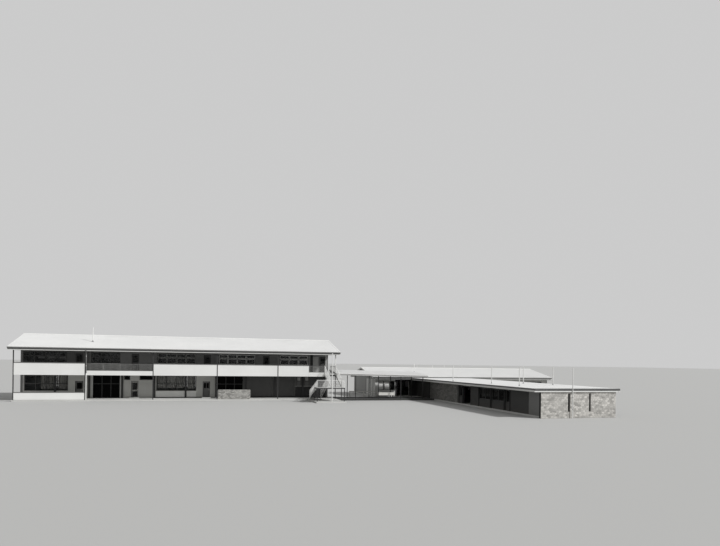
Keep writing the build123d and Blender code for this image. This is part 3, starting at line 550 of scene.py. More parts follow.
@dataclass(frozen=True)
class Finish(Coat):
    """A paint, render or concrete finish with patches, streaks and grain."""

    roughness: float = 0.6
    metallic: float = 0.0
    patches: float = 0.10
    patch_scale: float = 0.7
    streaks: float = 0.12
    grain: float = 0.08
    grain_scale: float = 70.0
    relief: float = 0.0015
    foot: float = 0.0
    splash: Span = (0.45, 0.02)
    dirt: Rgb = (0.16, 0.14, 0.12)
    patch_range: Span = (0.3, 0.7)
    streak_scale: float = 7.0
    streak_stretch: Point = (1.0, 1.0, 0.07)
    streak_range: Span = (0.52, 0.8)
    streak_tone: float = 0.35
    grain_tone: float = 0.45
    grain_height: float = 0.2
    rough_range: float = 0.12

    def pattern(self, graph: Graph, colour: Socket) -> tuple[Socket, Socket | None]:
        """Add what the kind of finish shows on top of the paint, and give its height or None."""
        return colour, None

    def dress(self, graph: Graph) -> None:
        """Lay patches, downward streaks, grain and dirt at the foot over the paint.

        Args:
            graph: The material's nodes.
        """
        patch = graph.span(graph.noise(self.patch_scale, 5.0), *self.patch_range)
        colour = graph.mix(
            patch, shade(self.colour, 1 - self.patches), shade(self.colour, 1 + self.patches / 3)
        )
        streak = graph.span(graph.noise(self.streak_scale, 4.0, self.streak_stretch), *self.streak_range)
        colour = graph.tint(colour, streak, self.streaks, shade(self.colour, self.streak_tone))
        grain = graph.noise(self.grain_scale, 3.0)
        colour = graph.tint(colour, grain, self.grain, shade(self.colour, self.grain_tone))
        if self.foot:
            low = graph.math("MULTIPLY", graph.span(graph.axis(2), *self.splash), patch)
            colour = graph.tint(colour, low, self.foot, self.dirt)
        colour, height = self.pattern(graph, colour)
        least = self.roughness - self.rough_range / 2
        rough = graph.math("MULTIPLY_ADD", patch, self.rough_range, least)
        graph.dress({"Base Color": colour, "Metallic": self.metallic, "Roughness": rough})
        if height is not None:
            grain = graph.math("ADD", height, graph.math("MULTIPLY", grain, self.grain_height))
        graph.bump(grain, self.relief)


@dataclass(frozen=True)
class Boards(Finish):
    """A boarded finish, with a dark groove at each board's edge."""

    roughness: float = 0.65
    axis: int = 1
    board: float = 0.15
    groove: float = 0.004
    contrast: float = 0.35
    groove_tone: float = 0.2
    board_share: float = 0.16
    board_tone: float = 0.5

    def pattern(self, graph: Graph, colour: Socket) -> tuple[Socket, Socket | None]:
        """Darken the grooves and vary the boards.

        Args:
            graph: The material's nodes.
            colour: The paint's colour socket.

        Returns:
            The colour's socket and the boards' height.
        """
        chance, edge = graph.strips(self.axis, self.board)
        groove = graph.span(edge, 0.5 - self.groove / self.board, 0.5)
        colour = graph.tint(colour, chance, self.board_share, shade(self.colour, self.board_tone))
        colour = graph.tint(colour, groove, self.contrast, shade(self.colour, self.groove_tone))
        return colour, graph.math("SUBTRACT", 1.0, groove)


@dataclass(frozen=True)
class Masonry(Finish):
    """Stone that takes its tone and its joints from values at the mesh's points."""

    roughness: float = 0.85
    patches: float = 0.15
    grain: float = 0.2
    grain_scale: float = 60.0
    relief: float = 0.004
    foot: float = 0.2
    mortar: Rgb = (0.42, 0.41, 0.38)
    spread: float = 0.5
    dark_tone: float = 0.3
    vein_scale: float = 26.0
    vein_range: Span = (0.5, 0.75)
    vein_share: float = 0.35
    vein_tone: float = 1.3
    pit_scale: float = 34.0

    def pattern(self, graph: Graph, colour: Socket) -> tuple[Socket, Socket | None]:
        """Give each stone its tone and paint the joints.

        Args:
            graph: The material's nodes.
            colour: The stone's colour socket.

        Returns:
            The colour's socket and the stones' height.
        """
        tone = graph.attribute("stone_tone")
        colour = graph.tint(colour, tone, self.spread, shade(self.colour, self.dark_tone))
        vein = graph.span(graph.noise(self.vein_scale, 6.0), *self.vein_range)
        colour = graph.tint(colour, vein, self.vein_share, shade(self.colour, self.vein_tone))
        colour = graph.mix(graph.attribute("stone_joint"), colour, self.mortar)
        return colour, graph.noise(self.pit_scale, 5.0)


@dataclass(frozen=True)
class Sheeting(Finish):
    """Painted roof sheeting with a tint for each sheet and a faint line at its side lap."""

    lap: float = 0.38
    axis: int = 0
    sheet_share: float = 0.03
    sheet_tone: float = 0.6
    lap_start: float = 0.48
    lap_share: float = 0.10
    lap_tone: float = 0.5

    def pattern(self, graph: Graph, colour: Socket) -> tuple[Socket, Socket | None]:
        """Tint each sheet a little and darken its side lap.

        Args:
            graph: The material's nodes.
            colour: The paint's colour socket.

        Returns:
            The colour's socket and no height.
        """
        chance, edge = graph.strips(self.axis, self.lap)
        colour = graph.tint(colour, chance, self.sheet_share, shade(self.colour, self.sheet_tone))
        line = graph.span(edge, self.lap_start, 0.5)
        return graph.tint(colour, line, self.lap_share, shade(self.colour, self.lap_tone)), None


@dataclass(frozen=True)
class Glazing(Coat):
    """Thin window glass: dark, glossy and partly clear, with lighter mottles that are partly dirt and partly
    painted reflection.
    """

    colour: Rgb = (0.02, 0.022, 0.022)
    clear: float = 0.62
    dust_and_reflection: float = 0.25
    gloss: float = 0.12
    roughness: float = 0.06
    bending: float = 1.45
    dust_and_reflection_scale: float = 5.0
    dust_and_reflection_range: Span = (0.42, 0.72)
    dust_and_reflection_tone: float = 3.0
    dust_and_reflection_cover: float = 0.06
    wave_scale: float = 1.3
    wave: float = 0.004

    def dress(self, graph: Graph) -> None:
        """Lay lighter mottles of dirt and painted reflection over the glass and wave its face a little.

        Args:
            graph: The material's nodes.
        """
        # Lighter mottles: partly dirt on the glass, partly painted reflection.
        dust_and_reflection_mask = graph.span(graph.noise(self.dust_and_reflection_scale, 5.0), *self.dust_and_reflection_range)
        graph.dress({
            "Base Color": graph.tint(self.colour, dust_and_reflection_mask, self.dust_and_reflection, shade(self.colour, self.dust_and_reflection_tone)),
            "Alpha": graph.math("MULTIPLY_ADD", dust_and_reflection_mask, self.dust_and_reflection_cover, 1 - self.clear),
            "Roughness": self.roughness,
            "IOR": self.bending,
            "Specular IOR Level": self.gloss,
        })
        graph.bump(graph.noise(self.wave_scale, 1.0), self.wave)


@dataclass(frozen=True)
class Cloth(Coat):
    """Curtain cloth with a fine weave, darker in upright bands."""

    weave: float = 900.0
    relief: float = 0.0004
    roughness: float = 0.9
    sheen: float = 0.2
    band_scale: float = 3.0
    band_stretch: Point = (4.0, 4.0, 0.4)
    band_range: Span = (0.35, 0.7)
    band_tone: float = 0.72

    def dress(self, graph: Graph) -> None:
        """Darken the cloth in upright bands and weave it as a product of two sines.

        Args:
            graph: The material's nodes.
        """
        upright_band = graph.span(graph.noise(self.band_scale, 4.0, self.band_stretch), *self.band_range)
        colour = graph.mix(upright_band, shade(self.colour, self.band_tone), self.colour)
        graph.dress({"Base Color": colour, "Roughness": self.roughness, "Sheen Weight": self.sheen})
        down, across = (
            graph.math("SINE", graph.math("MULTIPLY", graph.axis(index), self.weave)) for index in (2, 0)
        )
        graph.bump(graph.math("MULTIPLY", down, across), self.relief)


WHITE = (0.84, 0.84, 0.82)
ROOF_SHEET = Sheeting("white_roof_sheet", (0.79, 0.79, 0.78), 0.55, patches=0.03, streaks=0.03, grain=0.02)
WING_SHEET = Sheeting(
    "white_wing_sheet", (0.79, 0.79, 0.78), 0.55, patches=0.03, streaks=0.0, grain=0.02, axis=1
)
ROOF_DECK = Finish("roof_underlay", (0.50, 0.50, 0.48), 0.7)
FLASHING = Finish("white_flashing", WHITE, 0.45, patches=0.05, streaks=0.04)
FASCIA = Finish("fascia_paint", (0.34, 0.34, 0.33), 0.55, patches=0.08, streaks=0.08)
EDGE_PAINT = Finish("roof_edge_paint", (0.62, 0.62, 0.60), 0.55, patches=0.08, streaks=0.08)
# Near-black gutter paint: painted shadow for the dark line under the roof edges; the straps and stop ends
# share it.
GUTTER_SHADOW_PAINT = Finish("gutter_paint", (0.016, 0.016, 0.016), 0.55, patches=0.2)
SOFFIT = Boards("soffit_boards", (0.22, 0.22, 0.215), axis=1, groove=0.006, contrast=0.5)
CEILING = Boards("ceiling_boards", (0.20, 0.20, 0.195), axis=0, groove=0.006, contrast=0.5)
CONCRETE = Finish(
    "pale_concrete", (0.60, 0.60, 0.58), 0.85, patches=0.08, streaks=0.03, grain=0.12,
    grain_scale=110.0, relief=0.002,
)
# Near-black concrete of the covered way's floor: painted shade under its roof.
PAINTED_SHADE_CONCRETE = Finish(
    "painted_shade_concrete", (0.05, 0.05, 0.048), 0.85, patches=0.14, streaks=0.05, grain=0.2,
    grain_scale=110.0, relief=0.002,
)
FLOOR_SLAB = Finish(
    "verandah_floor", (0.50, 0.50, 0.48), 0.7, patches=0.12, streaks=0.0, grain=0.15, relief=0.001
)
PARAPET = Finish("parapet_paint", WHITE, 0.62, patches=0.04, streaks=0.05, grain=0.03)
COPING = Finish("coping_paint", (0.16, 0.16, 0.155), 0.5, patches=0.12)
DARK_STEEL = Finish("dark_steel_paint", (0.035, 0.035, 0.035), 0.42, patches=0.15)
COLUMN = Finish("column_paint", (0.014, 0.014, 0.014), 0.5, patches=0.2)
RAIL_STEEL = Finish("rail_steel_paint", (0.17, 0.17, 0.165), 0.5, patches=0.15)
BAR_STEEL = Finish("bar_steel_paint", (0.56, 0.56, 0.54), 0.5, patches=0.1, streaks=0.0)
STAIR_STEEL = Finish("stair_steel_paint", (0.05, 0.05, 0.05), 0.5, patches=0.2)
WHITE_STEEL = Finish("white_steel_paint", WHITE, 0.45, patches=0.05, streaks=0.08)
GROUND_WALL = Finish("ground_wall_paint", (0.47, 0.47, 0.45), 0.7, patches=0.08, foot=0.15)
UPPER_WALL = Boards("upper_wall_boards", (0.21, 0.21, 0.206), axis=2, board=0.11)
# Dark boards on the first upper room's wall: painted shade, darker than the other rooms' boards.
UPPER_PAINTED_SHADE = Boards("first_room_shade_boards", (0.14, 0.14, 0.137), axis=0, board=0.12)
END_WALL = Finish("end_wall_paint", (0.20, 0.20, 0.195), 0.7, patches=0.08, foot=0.3)
REAR_WALL = Finish("rear_wall_paint", (0.46, 0.46, 0.44), 0.75, patches=0.1, foot=0.4)
PALE_BOARDS = Boards("pale_wing_boards", (0.70, 0.70, 0.68), axis=0)
GABLE = Boards("gable_boards", (0.36, 0.36, 0.35), axis=2, board=0.1, contrast=0.4)
DARK_WALL = Finish("court_wall_paint", (0.045, 0.045, 0.043), 0.75, patches=0.12, foot=0.2)
# Black paint: the real colour of the hall sashes, court posts and jambs, and painted shade on the lobby wall
# and the stone fin's end.
BLACK_PAINT_AND_SHADE = Finish("black_paint_and_painted_shade", (0.012, 0.012, 0.012), 0.7, patches=0.2)
PIER_WALL = Finish("pier_render", (0.20, 0.20, 0.195), 0.8, patches=0.1, foot=0.2)
LIGHT_STONE = Masonry(
    "light_rubble", (0.72, 0.70, 0.66), patches=0.12, mortar=(0.34, 0.33, 0.31), spread=0.75
)
GREY_STONE = Masonry("grey_rubble", (0.52, 0.51, 0.48), mortar=(0.16, 0.155, 0.15), spread=0.85)
DARK_STONE = Masonry("court_rubble", (0.25, 0.245, 0.23), mortar=(0.10, 0.098, 0.094), spread=0.7)
STONE_CORE = Finish("stone_core", (0.36, 0.35, 0.33), 0.9, patches=0.15, grain=0.2, foot=0.2)
FRAME_PAINT = Finish("dark_frame_paint", (0.02, 0.02, 0.0195), 0.5, patches=0.15)
SASH_PAINT = Finish("sash_paint", (0.12, 0.12, 0.117), 0.5, patches=0.15)
PALE_SASH = Finish("pale_sash_paint", (0.74, 0.74, 0.72), 0.5, patches=0.12)
PALE_PAINT = Finish("pale_trim_paint", (0.66, 0.66, 0.64), 0.5, patches=0.08)
PALE_PANEL = Finish("pale_panel_paint", (0.78, 0.78, 0.76), 0.6, patches=0.12)
INFILL = Finish("infill_panel_paint", (0.34, 0.34, 0.33), 0.6, patches=0.12)
SHUTTERS = Finish("shutter_paint", (0.062, 0.062, 0.06), 0.55, patches=0.2, streaks=0.15)
DARK_BOARDS = Finish("dark_boarding_paint", (0.062, 0.062, 0.06), 0.55, patches=0.2, streaks=0.15)
DADO = Finish("dado_paint", (0.012, 0.012, 0.012), 0.6, patches=0.2)
DOOR = Finish("door_paint", (0.17, 0.17, 0.165), 0.55, patches=0.12, foot=0.2)
UPPER_DOOR = Finish("upper_door_paint", (0.03, 0.03, 0.0293), 0.55, patches=0.15)
DOOR_DARK = Finish("dark_door_paint", (0.12, 0.12, 0.117), 0.55, patches=0.12, foot=0.2)
VENT = Finish("vent_pipe_paint", (0.82, 0.82, 0.80), 0.5, patches=0.08, streaks=0.08)
LEAD = Finish("flashing_collar", (0.42, 0.42, 0.42), 0.55, metallic=0.6, patches=0.2)
TIMBER = Boards("bench_timber", (0.78, 0.77, 0.74), axis=1, board=0.045, contrast=0.6)
METAL = Finish("door_metal", (0.45, 0.44, 0.42), 0.3, metallic=0.9, patches=0.1, streaks=0.0)
GLASS = Glazing("window_glass_finish", clear=0.74)
DARK_GLASS = Glazing("dark_glass_finish", (0.002, 0.002, 0.002), clear=0.0, gloss=0.03)
# The upper glass has strong lighter mottles: painted reflection.
UPPER_GLASS = Glazing("upper_glass_finish", (0.028, 0.029, 0.029), clear=0.15, dust_and_reflection=0.7)
WING_GLASS = Glazing("wing_glass_finish", (0.008, 0.008, 0.008), clear=0.12)
PALE_CLOTH = Cloth("pale_curtain_cloth", (0.74, 0.73, 0.70))
GREY_CLOTH = Cloth("grey_curtain_cloth", (0.66, 0.65, 0.62))

SLOPES = ("main_roof_front", "main_roof_rear", "rear_wing_roof_front", "rear_wing_roof_rear")
NODE_FINISHES = {
    CONCRETE: ("main_slab", "stair_pad", "front_wing_floor", "rear_wing_floor", "door_steps"),
    PAINTED_SHADE_CONCRETE: ("way_floor",),
    FLOOR_SLAB: ("upper_floor",),
    DARK_STEEL: ("verandah_posts", "way_beams", "landing_posts"),
    COLUMN: ("wall_columns", "way_posts"),
    PARAPET: ("edge_beams", "upper_parapets", "ground_parapet"),
    STONE_CORE: ("stone_low_wall", "stone_end_wall"),
    BAR_STEEL: ("verandah_railings",),
    GROUND_WALL: ("ground_front_wall", "door_lintels"),
    UPPER_WALL: ("upper_front_wall",),
    REAR_WALL: ("rear_walls", "outer_side_wall", "rear_wing_long_walls"),
    END_WALL: ("end_walls",),
    GABLE: ("rear_wing_gable_walls", "gable_ends"),
    DARK_WALL: ("court_wall",),
    ROOF_DECK: (*SLOPES, "way_roof"),
    FLASHING: ("ridge_caps",),
    FASCIA: ("eaves_fascias", "barge_boards"),
    EDGE_PAINT: ("front_wing_roof",),
    GUTTER_SHADOW_PAINT: ("eaves_gutters",),
    SOFFIT: ("upper_ceiling", "rear_wing_ceiling"),
    CEILING: ("front_wing_ceiling",),
    FRAME_PAINT: ("window_frames", "rear_window_frames", "wing_window_frames", "door_frames"),
    GLASS: ("window_glass",),
    WING_GLASS: ("wing_glass",),
    SHUTTERS: ("shutter_boards",),
    DOOR: ("hall_door",),
    UPPER_DOOR: ("upper_door_leaves",),
    DOOR_DARK: ("first_classroom_door", "classroom_door"),
    STAIR_STEEL: ("stair_landing", "stair_treads"),
    WHITE_STEEL: ("stair_stringers", "stair_mast", "stair_balustrades", "landing_balustrades"),
    VENT: ("roof_vents",),
    TIMBER: ("way_bench",),
}


def show(name: str, data: bpy.types.ID) -> bpy.types.Object:
    """Add an object to the scene."""
    added = bpy.data.objects.new(name, data)
    bpy.context.scene.collection.objects.link(added)
    return added


@dataclass(frozen=True)
class Piece:
    """What a new piece is called, wears, rides on and stands for."""

    name: str
    finish: Coat
    slot: str
    body: str = BUILDING
    stands_for: tuple[str, ...] = ()
    smooth: bool = False
    thickness: float = 0.0
    crease: float = 35.0

    def sharpen(self, mesh: bpy.types.Mesh) -> None:
        """Mark the creases and the open borders sharp, so that neither bends the shading.

        An open border is an edge that only one face's corner names.

        Args:
            mesh: The mesh.
        """
        mesh.set_sharp_from_angle(angle=math.radians(self.crease))
        named = np.zeros(len(mesh.loops), int)
        mesh.loops.foreach_get("edge_index", named)
        sharp = np.zeros(len(mesh.edges), bool)
        mesh.edges.foreach_get("use_edge_sharp", sharp)
        border = np.bincount(named, minlength=len(mesh.edges)) == 1
        mesh.edges.foreach_set("use_edge_sharp", sharp | border)

    def build(self, *shells: Shell) -> bpy.types.Object:
        """Put shells into one mesh and hand it to the frame.

        Args:
            shells: The piece's parts, in place.

        Returns:
            The finished object.
        """
        shell = join(shells)
        mesh = bpy.data.meshes.new(self.name)
        corners = np.concatenate([group.ravel() for group in shell.faces])
        totals = np.concatenate([np.full(len(group), group.shape[1]) for group in shell.faces])
        mesh.vertices.add(len(shell.points))
        mesh.vertices.foreach_set("co", shell.points.astype(np.float32).ravel())
        mesh.loops.add(len(corners))
        mesh.loops.foreach_set("vertex_index", corners.astype(np.int32))
        mesh.polygons.add(len(totals))
        mesh.polygons.foreach_set("loop_start", (np.cumsum(totals) - totals).astype(np.int32))
        mesh.update(calc_edges=True)
        mesh.validate()
        if shell.values is not None:
            for column, name in enumerate(("stone_tone", "stone_joint")):
                layer = mesh.attributes.new(name, "FLOAT", "POINT")
                layer.data.foreach_set("value", shell.values[:, column].astype(np.float32))
        mesh.polygons.foreach_set("use_smooth", np.full(len(mesh.polygons), self.smooth))
        if self.smooth:
            self.sharpen(mesh)
        piece = show(self.name, mesh)
        mesh.materials.append(self.finish.material())
        if self.thickness:
            solid = piece.modifiers.new("thickness", "SOLIDIFY")
            solid.thickness = self.thickness
            solid.offset = -1
        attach(piece, self.body)
        if self.stands_for:
            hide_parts(*self.stands_for)
        log.info("%s: %d points, %d faces, on %s", self.name, len(shell.points), len(totals), self.body)
        return piece


@dataclass(frozen=True)
class RoofFace:
    """Top face of a roof slab, as level = base + rise_x * x + rise_y * y."""

    box: Box
    base: float
    rise_x: float
    rise_y: float

    @classmethod
    def of(cls, node: str) -> "RoofFace":
        """Fit the face to the highest point in each quarter of a node's plan.

        Args:
            node: Name of the roof's node.

        Returns:
            The fitted face.
        """
        points = np.concatenate(solids_of(node))
        box = box_of(node)
        beyond = points[:, :2] > box.centre[:2]
        corners = []
        for quarter in ((False, False), (False, True), (True, False), (True, True)):
            group = points[(beyond == quarter).all(axis=1)]
            corners.append(group[group[:, 2].argmax()])
        corners = np.array(corners)
        design = np.column_stack((np.ones(len(corners)), corners[:, :2]))
        base, rise_x, rise_y = np.linalg.lstsq(design, corners[:, 2], rcond=None)[0]
        return cls(box, float(base), float(rise_x), float(rise_y))

    def level(self, x: Array | float, y: Array | float) -> Array | float:
        """Level of the face at a place in plan."""
        return self.base + self.rise_x * x + self.rise_y * y

    def point(self, x: float, y: float) -> Array:
        """Point on the face at a place in plan."""
        return np.array((x, y, self.level(x, y)))


@dataclass(frozen=True)
class Cladding:
    """Corrugated sheeting laid on roof faces, with its flashings."""

    pitch: float = 0.062
    depth: float = 0.010
    lift: float = 0.002
    steps: int = 6
    lap: float = 0.0025
    overhang: float = 0.012
    gauge: float = 0.002
    fold: float = 0.003
    verge_in: float = 0.06
    verge_out: float = 0.010
    verge_drop: float = 0.055
    ridge_reach: float = 0.13
    roll: float = 0.022

    def sheet(self, face: RoofFace, ribs: Axis, laps: int) -> Shell:
        """Corrugate a sheet over a roof face.

        Its height over the face is the lift, plus half the depth times one plus the cosine
        of 2 pi times the distance across the ribs over the pitch, plus a small step at the
        foot of each lapped sheet that dies out up the slope.

        Args:
            face: The roof face.
            ribs: The direction that the ribs run along.
            laps: Number of end laps along the ribs.

        Returns:
            The sheet's shell, facing up.
        """
        run, across = ribs.value, 1 - ribs.value
        low, high = face.box.low.copy(), face.box.high.copy()
        step = np.tile((self.lap, 0.0), laps + 1)
        if (face.rise_x, face.rise_y)[run] < 0:
            high[run] += self.overhang
            step = step[::-1]
        else:
            low[run] -= self.overhang
        count = round((high[across] - low[across]) / self.pitch) * self.steps
        side = np.linspace(low[across], high[across], count + 1)[:, None]
        along = np.repeat(np.linspace(low[run], high[run], laps + 2), 2)[1:-1]
        wave = self.depth / 2 * (1 + np.cos(2 * math.pi * (side - low[across]) / self.pitch))
        x, y = (along, side) if ribs is Axis.X else (side, along)
        shell = surface(at(x, y, face.level(x, y) + (self.lift + wave + step)))
        if ribs is Axis.X:
            shell.faces = [group[:, ::-1] for group in shell.faces]
        return shell

    def lay(self, name: str, finish: Finish, face: RoofFace, ribs: Axis, laps: int) -> None:
        """Lay a sheet on a roof face as a piece of its own."""
        piece = Piece(name, finish, "roof_sheet", smooth=True, thickness=self.gauge)
        piece.build(self.sheet(face, ribs, laps))

    def verge(self, face: RoofFace, side: Side) -> Shell:
        """Fold a flashing over the sheets along a sloping edge.

        Args:
            face: The roof face.
            side: The edge that it covers, left or right.

        Returns:
            The flashing's shell.
        """
        x = face.box.low[0] if side is Side.LEFT else face.box.high[0]
        under = self.lift + self.depth
        over, inner = under + self.fold, self.verge_out - self.fold
        profile = (
            (-self.verge_in, under), (-self.verge_in, over), (self.verge_out, over),
            (self.verge_out, -self.verge_drop), (inner, -self.verge_drop), (inner, under),
        )
        return prism(profile, face.point(x, face.box.low[1]), face.point(x, face.box.high[1]), side.outward)

    def ridge(self, front: RoofFace) -> Shell:
        """Fold a rolled cap over a ridge.

        Across the ridge its level is that of the sheets, less the slope times the distance,
        plus a roll that falls off as a bell curve.

        Args:
            front: The roof face in front of the ridge.

        Returns:
            The cap's shell.
        """
        y = front.box.high[1]
        crest = front.level(0.0, y) + self.lift + self.depth
        across = np.linspace(-self.ridge_reach, self.ridge_reach, 25)
        bell = self.roll * np.exp(-((across / self.roll) ** 2))
        upper = np.column_stack((across, self.fold - front.rise_y * np.abs(across) + bell))
        profile = np.concatenate((upper, upper[::-1] - (0.0, self.fold)))
        start = (front.box.low[0] - self.overhang, y, crest)
        end = (front.box.high[0] + self.overhang, y, crest)
        return prism(profile, start, end, Side.BACK.outward)


@dataclass(frozen=True)
class GutterRun:
    """Square gutter with a rolled lip, hung on a fascia."""

    reach: float = 0.045
    depth: float = 0.055
    sheet: float = 0.004

    def shell(self, start: Array, end: Array, side: Side) -> Shell:
        """Run the gutter between two points at its back top edge.

        Args:
            start: Back top edge at one end.
            end: Back top edge at the other.
            side: The way that the fascia looks.

        Returns:
            The gutter's shell.
        """
        out, deep, thin = self.reach, self.depth, self.sheet
        lip = 2 * thin
        profile = (
            (0.0, 0.0), (0.0, -deep), (out, -deep), (out, -thin), (out - lip, -thin), (out - lip, -lip),
            (out - thin, -lip), (out - thin, thin - deep), (thin, thin - deep), (thin, 0.0),
        )
        return prism(profile, start, end, side.outward)


@dataclass(frozen=True)
class Window:
    """One glazed opening, from the sheet of glass that closes it."""

    glass: Box
    side: Side
    pane: float
    transom: float | None

    @property
    def ends(self) -> Span:
        """Where the glass starts and ends along the wall."""
        run = self.side.axis.value
        return self.glass.low[run], self.glass.high[run]

    @property
    def face(self) -> float:
        """Depth coordinate of the glass's outer face."""
        depth = 1 - self.side.axis.value
        return self.glass.low[depth] if sum(self.side.value) < 0 else self.glass.high[depth]

    def panes(self, bar: float) -> Array:
        """List the clear panes between the frame's bars.

        Args:
            bar: Width of a bar.

        Returns:
            Rows of (left, foot, right, head), one for each pane.
        """
        low, high = self.ends
        foot, head = self.glass.low[2] + bar, self.glass.high[2] - bar
        count = max(1, round((high - low) / self.pane))
        clear = (high - low - bar * (count + 1)) / count
        start = low + bar + np.arange(count) * (clear + bar)
        rows = [(foot, head)]
        if self.transom is not None:
            rows = [(foot, self.transom - bar / 2), (self.transom + bar / 2, head)]
        return np.array([(left, low, left + clear, high) for left in start for low, high in rows])

    def place(self, run: Array | float, level: Array | float, out: Array | float) -> Array:
        """Points from places along the wall, levels and distances out from the glass's outer face."""
        flat = at(run, self.face, level) if self.side.axis is Axis.X else at(self.face, run, level)
        return flat + np.asarray(out)[..., None] * self.side.outward

    def panels(self, edges: Array | Sequence[tuple], out: Span) -> Shell:
        """Make blocks in front of the glass.

        Args:
            edges: Rows of (left, foot, right, head), one for each block.
            out: Near and far faces, out from the glass.

        Returns:
            One shell with all the blocks.
        """
        left, foot, right, head = np.atleast_2d(edges).T
        near, far = self.place(left, foot, out[0]), self.place(right, head, out[1])
        return blocks(np.minimum(near, far), np.maximum(near, far))


@dataclass
class Glaziers:
    """Glass, sashes, sills, curtains and infill panels of all the windows."""

    bar: float = 0.024
    sash: float = 0.013
    wide_sash: float = 0.034
    sash_faces: Span = (0.002, 0.016)
    panel_faces: Span = (0.001, 0.010)
    light_patch_faces: Span = (0.001, 0.003)
    sill_profile: tuple = ((0.03, 0.010), (0.082, 0.0), (0.082, -0.022), (0.055, -0.022), (0.03, -0.002))
    pane: float = 0.58
    rear_pane: float = 1.15
    transom_height: float = 0.85
    tall_glass: float = 0.5
    sill_glass: float = 0.4
    narrow_width: float = 0.28
    narrow_transom: float = 0.325
    fold: float = 0.11
    swing: float = 0.017
    hem_swing: float = 0.006
    drift: Span = (0.9, 2.3)
    waver: Span = (0.25, 9.0)
    curtain_back: float = 0.055
    curtain_top: float = 0.02
    rail_lift: float = 0.024
    light_patches: tuple[Span, ...] = ((0.34, 0.50), (0.57, 0.75), (0.83, 0.97))
    light_patch_drop: Span = (0.13, 0.02)
    windows: list[Window] = field(default_factory=list)

    def find(self) -> None:
        """List the windows from the sheets of glass in the frame."""
        block = box_of("upper_floor")
        ground, upper = box_of("main_slab").high[2], block.high[2]
        for glass in boxes_of("window_glass"):
            front = glass.centre[1] < block.centre[1] + 1.0
            floor = upper if glass.low[2] > upper else ground
            transom = floor + self.transom_height if glass.size[2] > self.tall_glass else None
            if glass.size[0] < self.narrow_width:
                transom = glass.low[2] + self.narrow_transom
            side, pane = (Side.FRONT, self.pane) if front else (Side.BACK, self.rear_pane)
            self.windows.append(Window(glass, side, pane, transom))
        rear, middle = box_of("wing_glass").high[1], box_of("front_wing_floor").centre[0]
        for glass in boxes_of("wing_glass"):
            if glass.size[0] < glass.size[1]:
                side = Side.LEFT if glass.centre[0] < middle else Side.RIGHT
            else:
                side = Side.BACK if glass.high[1] > rear - NEAR else Side.FRONT
            self.windows.append(Window(glass, side, self.pane, None))

    def fronts(self) -> tuple[list[Window], list[Window]]:
        """List the block's tall front windows from left to right.

        Returns:
            Those of the ground floor, and those of the upper floor.
        """
        front = [w for w in self.windows if w.side is Side.FRONT and w.transom is not None]
        front.sort(key=lambda window: window.glass.low[0])
        level = box_of("upper_floor").low[2]
        return [w for w in front if w.glass.high[2] < level], [w for w in front if w.glass.low[2] > level]

    def glass(self) -> None:
        """Glaze the block: dark in the hall and the fourth room, with strong painted reflection on the upper
        floor.
        """
        ground, upper = self.fronts()
        wing = box_of("upper_floor").high[0]
        block = [w for w in self.windows if w.glass.high[0] < wing]
        dark = [ground[1], ground[3], *(w for w in block if w.transom is None)]
        special = {id(window) for window in dark + upper}
        for name, finish, windows in (
            ("room_glass", GLASS, [w for w in block if id(w) not in special]),
            ("hall_glass", DARK_GLASS, dark),
            ("upper_glass", UPPER_GLASS, upper),
        ):
            sheets = blocks([w.glass.low for w in windows], [w.glass.high for w in windows])
            Piece(name, finish, "glass", stands_for=("window_glass",)).build(sheets)

    def sash_members(self, window: Window, wide: float) -> list[Shell]:
        """Make the four members round each pane of a window.

        Args:
            window: The window.
            wide: Width of a member.

        Returns:
            One shell for the members of each side, with those of all the panes.
        """
        x0, z0, x1, z1 = window.panes(self.bar).T
        members = (
            (x0, z0, x0 + wide, z1),
            (x1 - wide, z0, x1, z1),
            (x0 + wide, z0, x1 - wide, z0 + wide),
            (x0 + wide, z1 - wide, x1 - wide, z1),
        )
        return [window.panels(np.transpose(edges), self.sash_faces) for edges in members]

    def sashes(self) -> None:
        """Hang a sash in each pane: wide pale ones in the last upper rooms, black ones in the hall."""
        finishes = {
            "front_sashes": SASH_PAINT,
            "hall_sashes": BLACK_PAINT_AND_SHADE,
            "third_room_sashes": INFILL,
            "pale_sashes": PALE_SASH,
            "rear_sashes": SASH_PAINT,
            "wing_sashes": SASH_PAINT,
        }
        groups: dict[str, list[Shell]] = {name: [] for name in finishes}
        split = box_of("upper_floor").high[0]
        ground, upper = self.fronts()
        named = {id(window): "hall_sashes" for window in (ground[1], ground[3])}
        named[id(upper[2])] = "third_room_sashes"
        named |= {id(window): "pale_sashes" for window in upper[3:]}
        for window in self.windows:
            name = "rear_sashes" if window.side is Side.BACK else "front_sashes"
            if window.glass.low[0] > split:
                name = "wing_sashes"
            name = named.get(id(window), name)
            wide = self.wide_sash if name in ("third_room_sashes", "pale_sashes") else self.sash
            groups[name] += self.sash_members(window, wide)
        for name, shells in groups.items():
            Piece(name, finishes[name], "frame_paint").build(*shells)

    def sills(self) -> None:
        """Set a sloping sill under each window, but none at a floor or towards the court.

        Its profile falls from the frame to its nose, which has a drip below it.
        """
        shells = []
        for window in self.windows:
            (start, end), foot = window.ends, window.glass.low[2]
            small = end - start < self.narrow_width or window.glass.size[2] < self.sill_glass
            if small or foot < 0.2 or window.side is Side.LEFT:
                continue
            ends = window.place(np.array((start, end)), foot, 0.0)
            shells.append(prism(self.sill_profile, *ends, window.side.outward))
        Piece("window_sills", PALE_PAINT, "frame_paint").build(*shells)

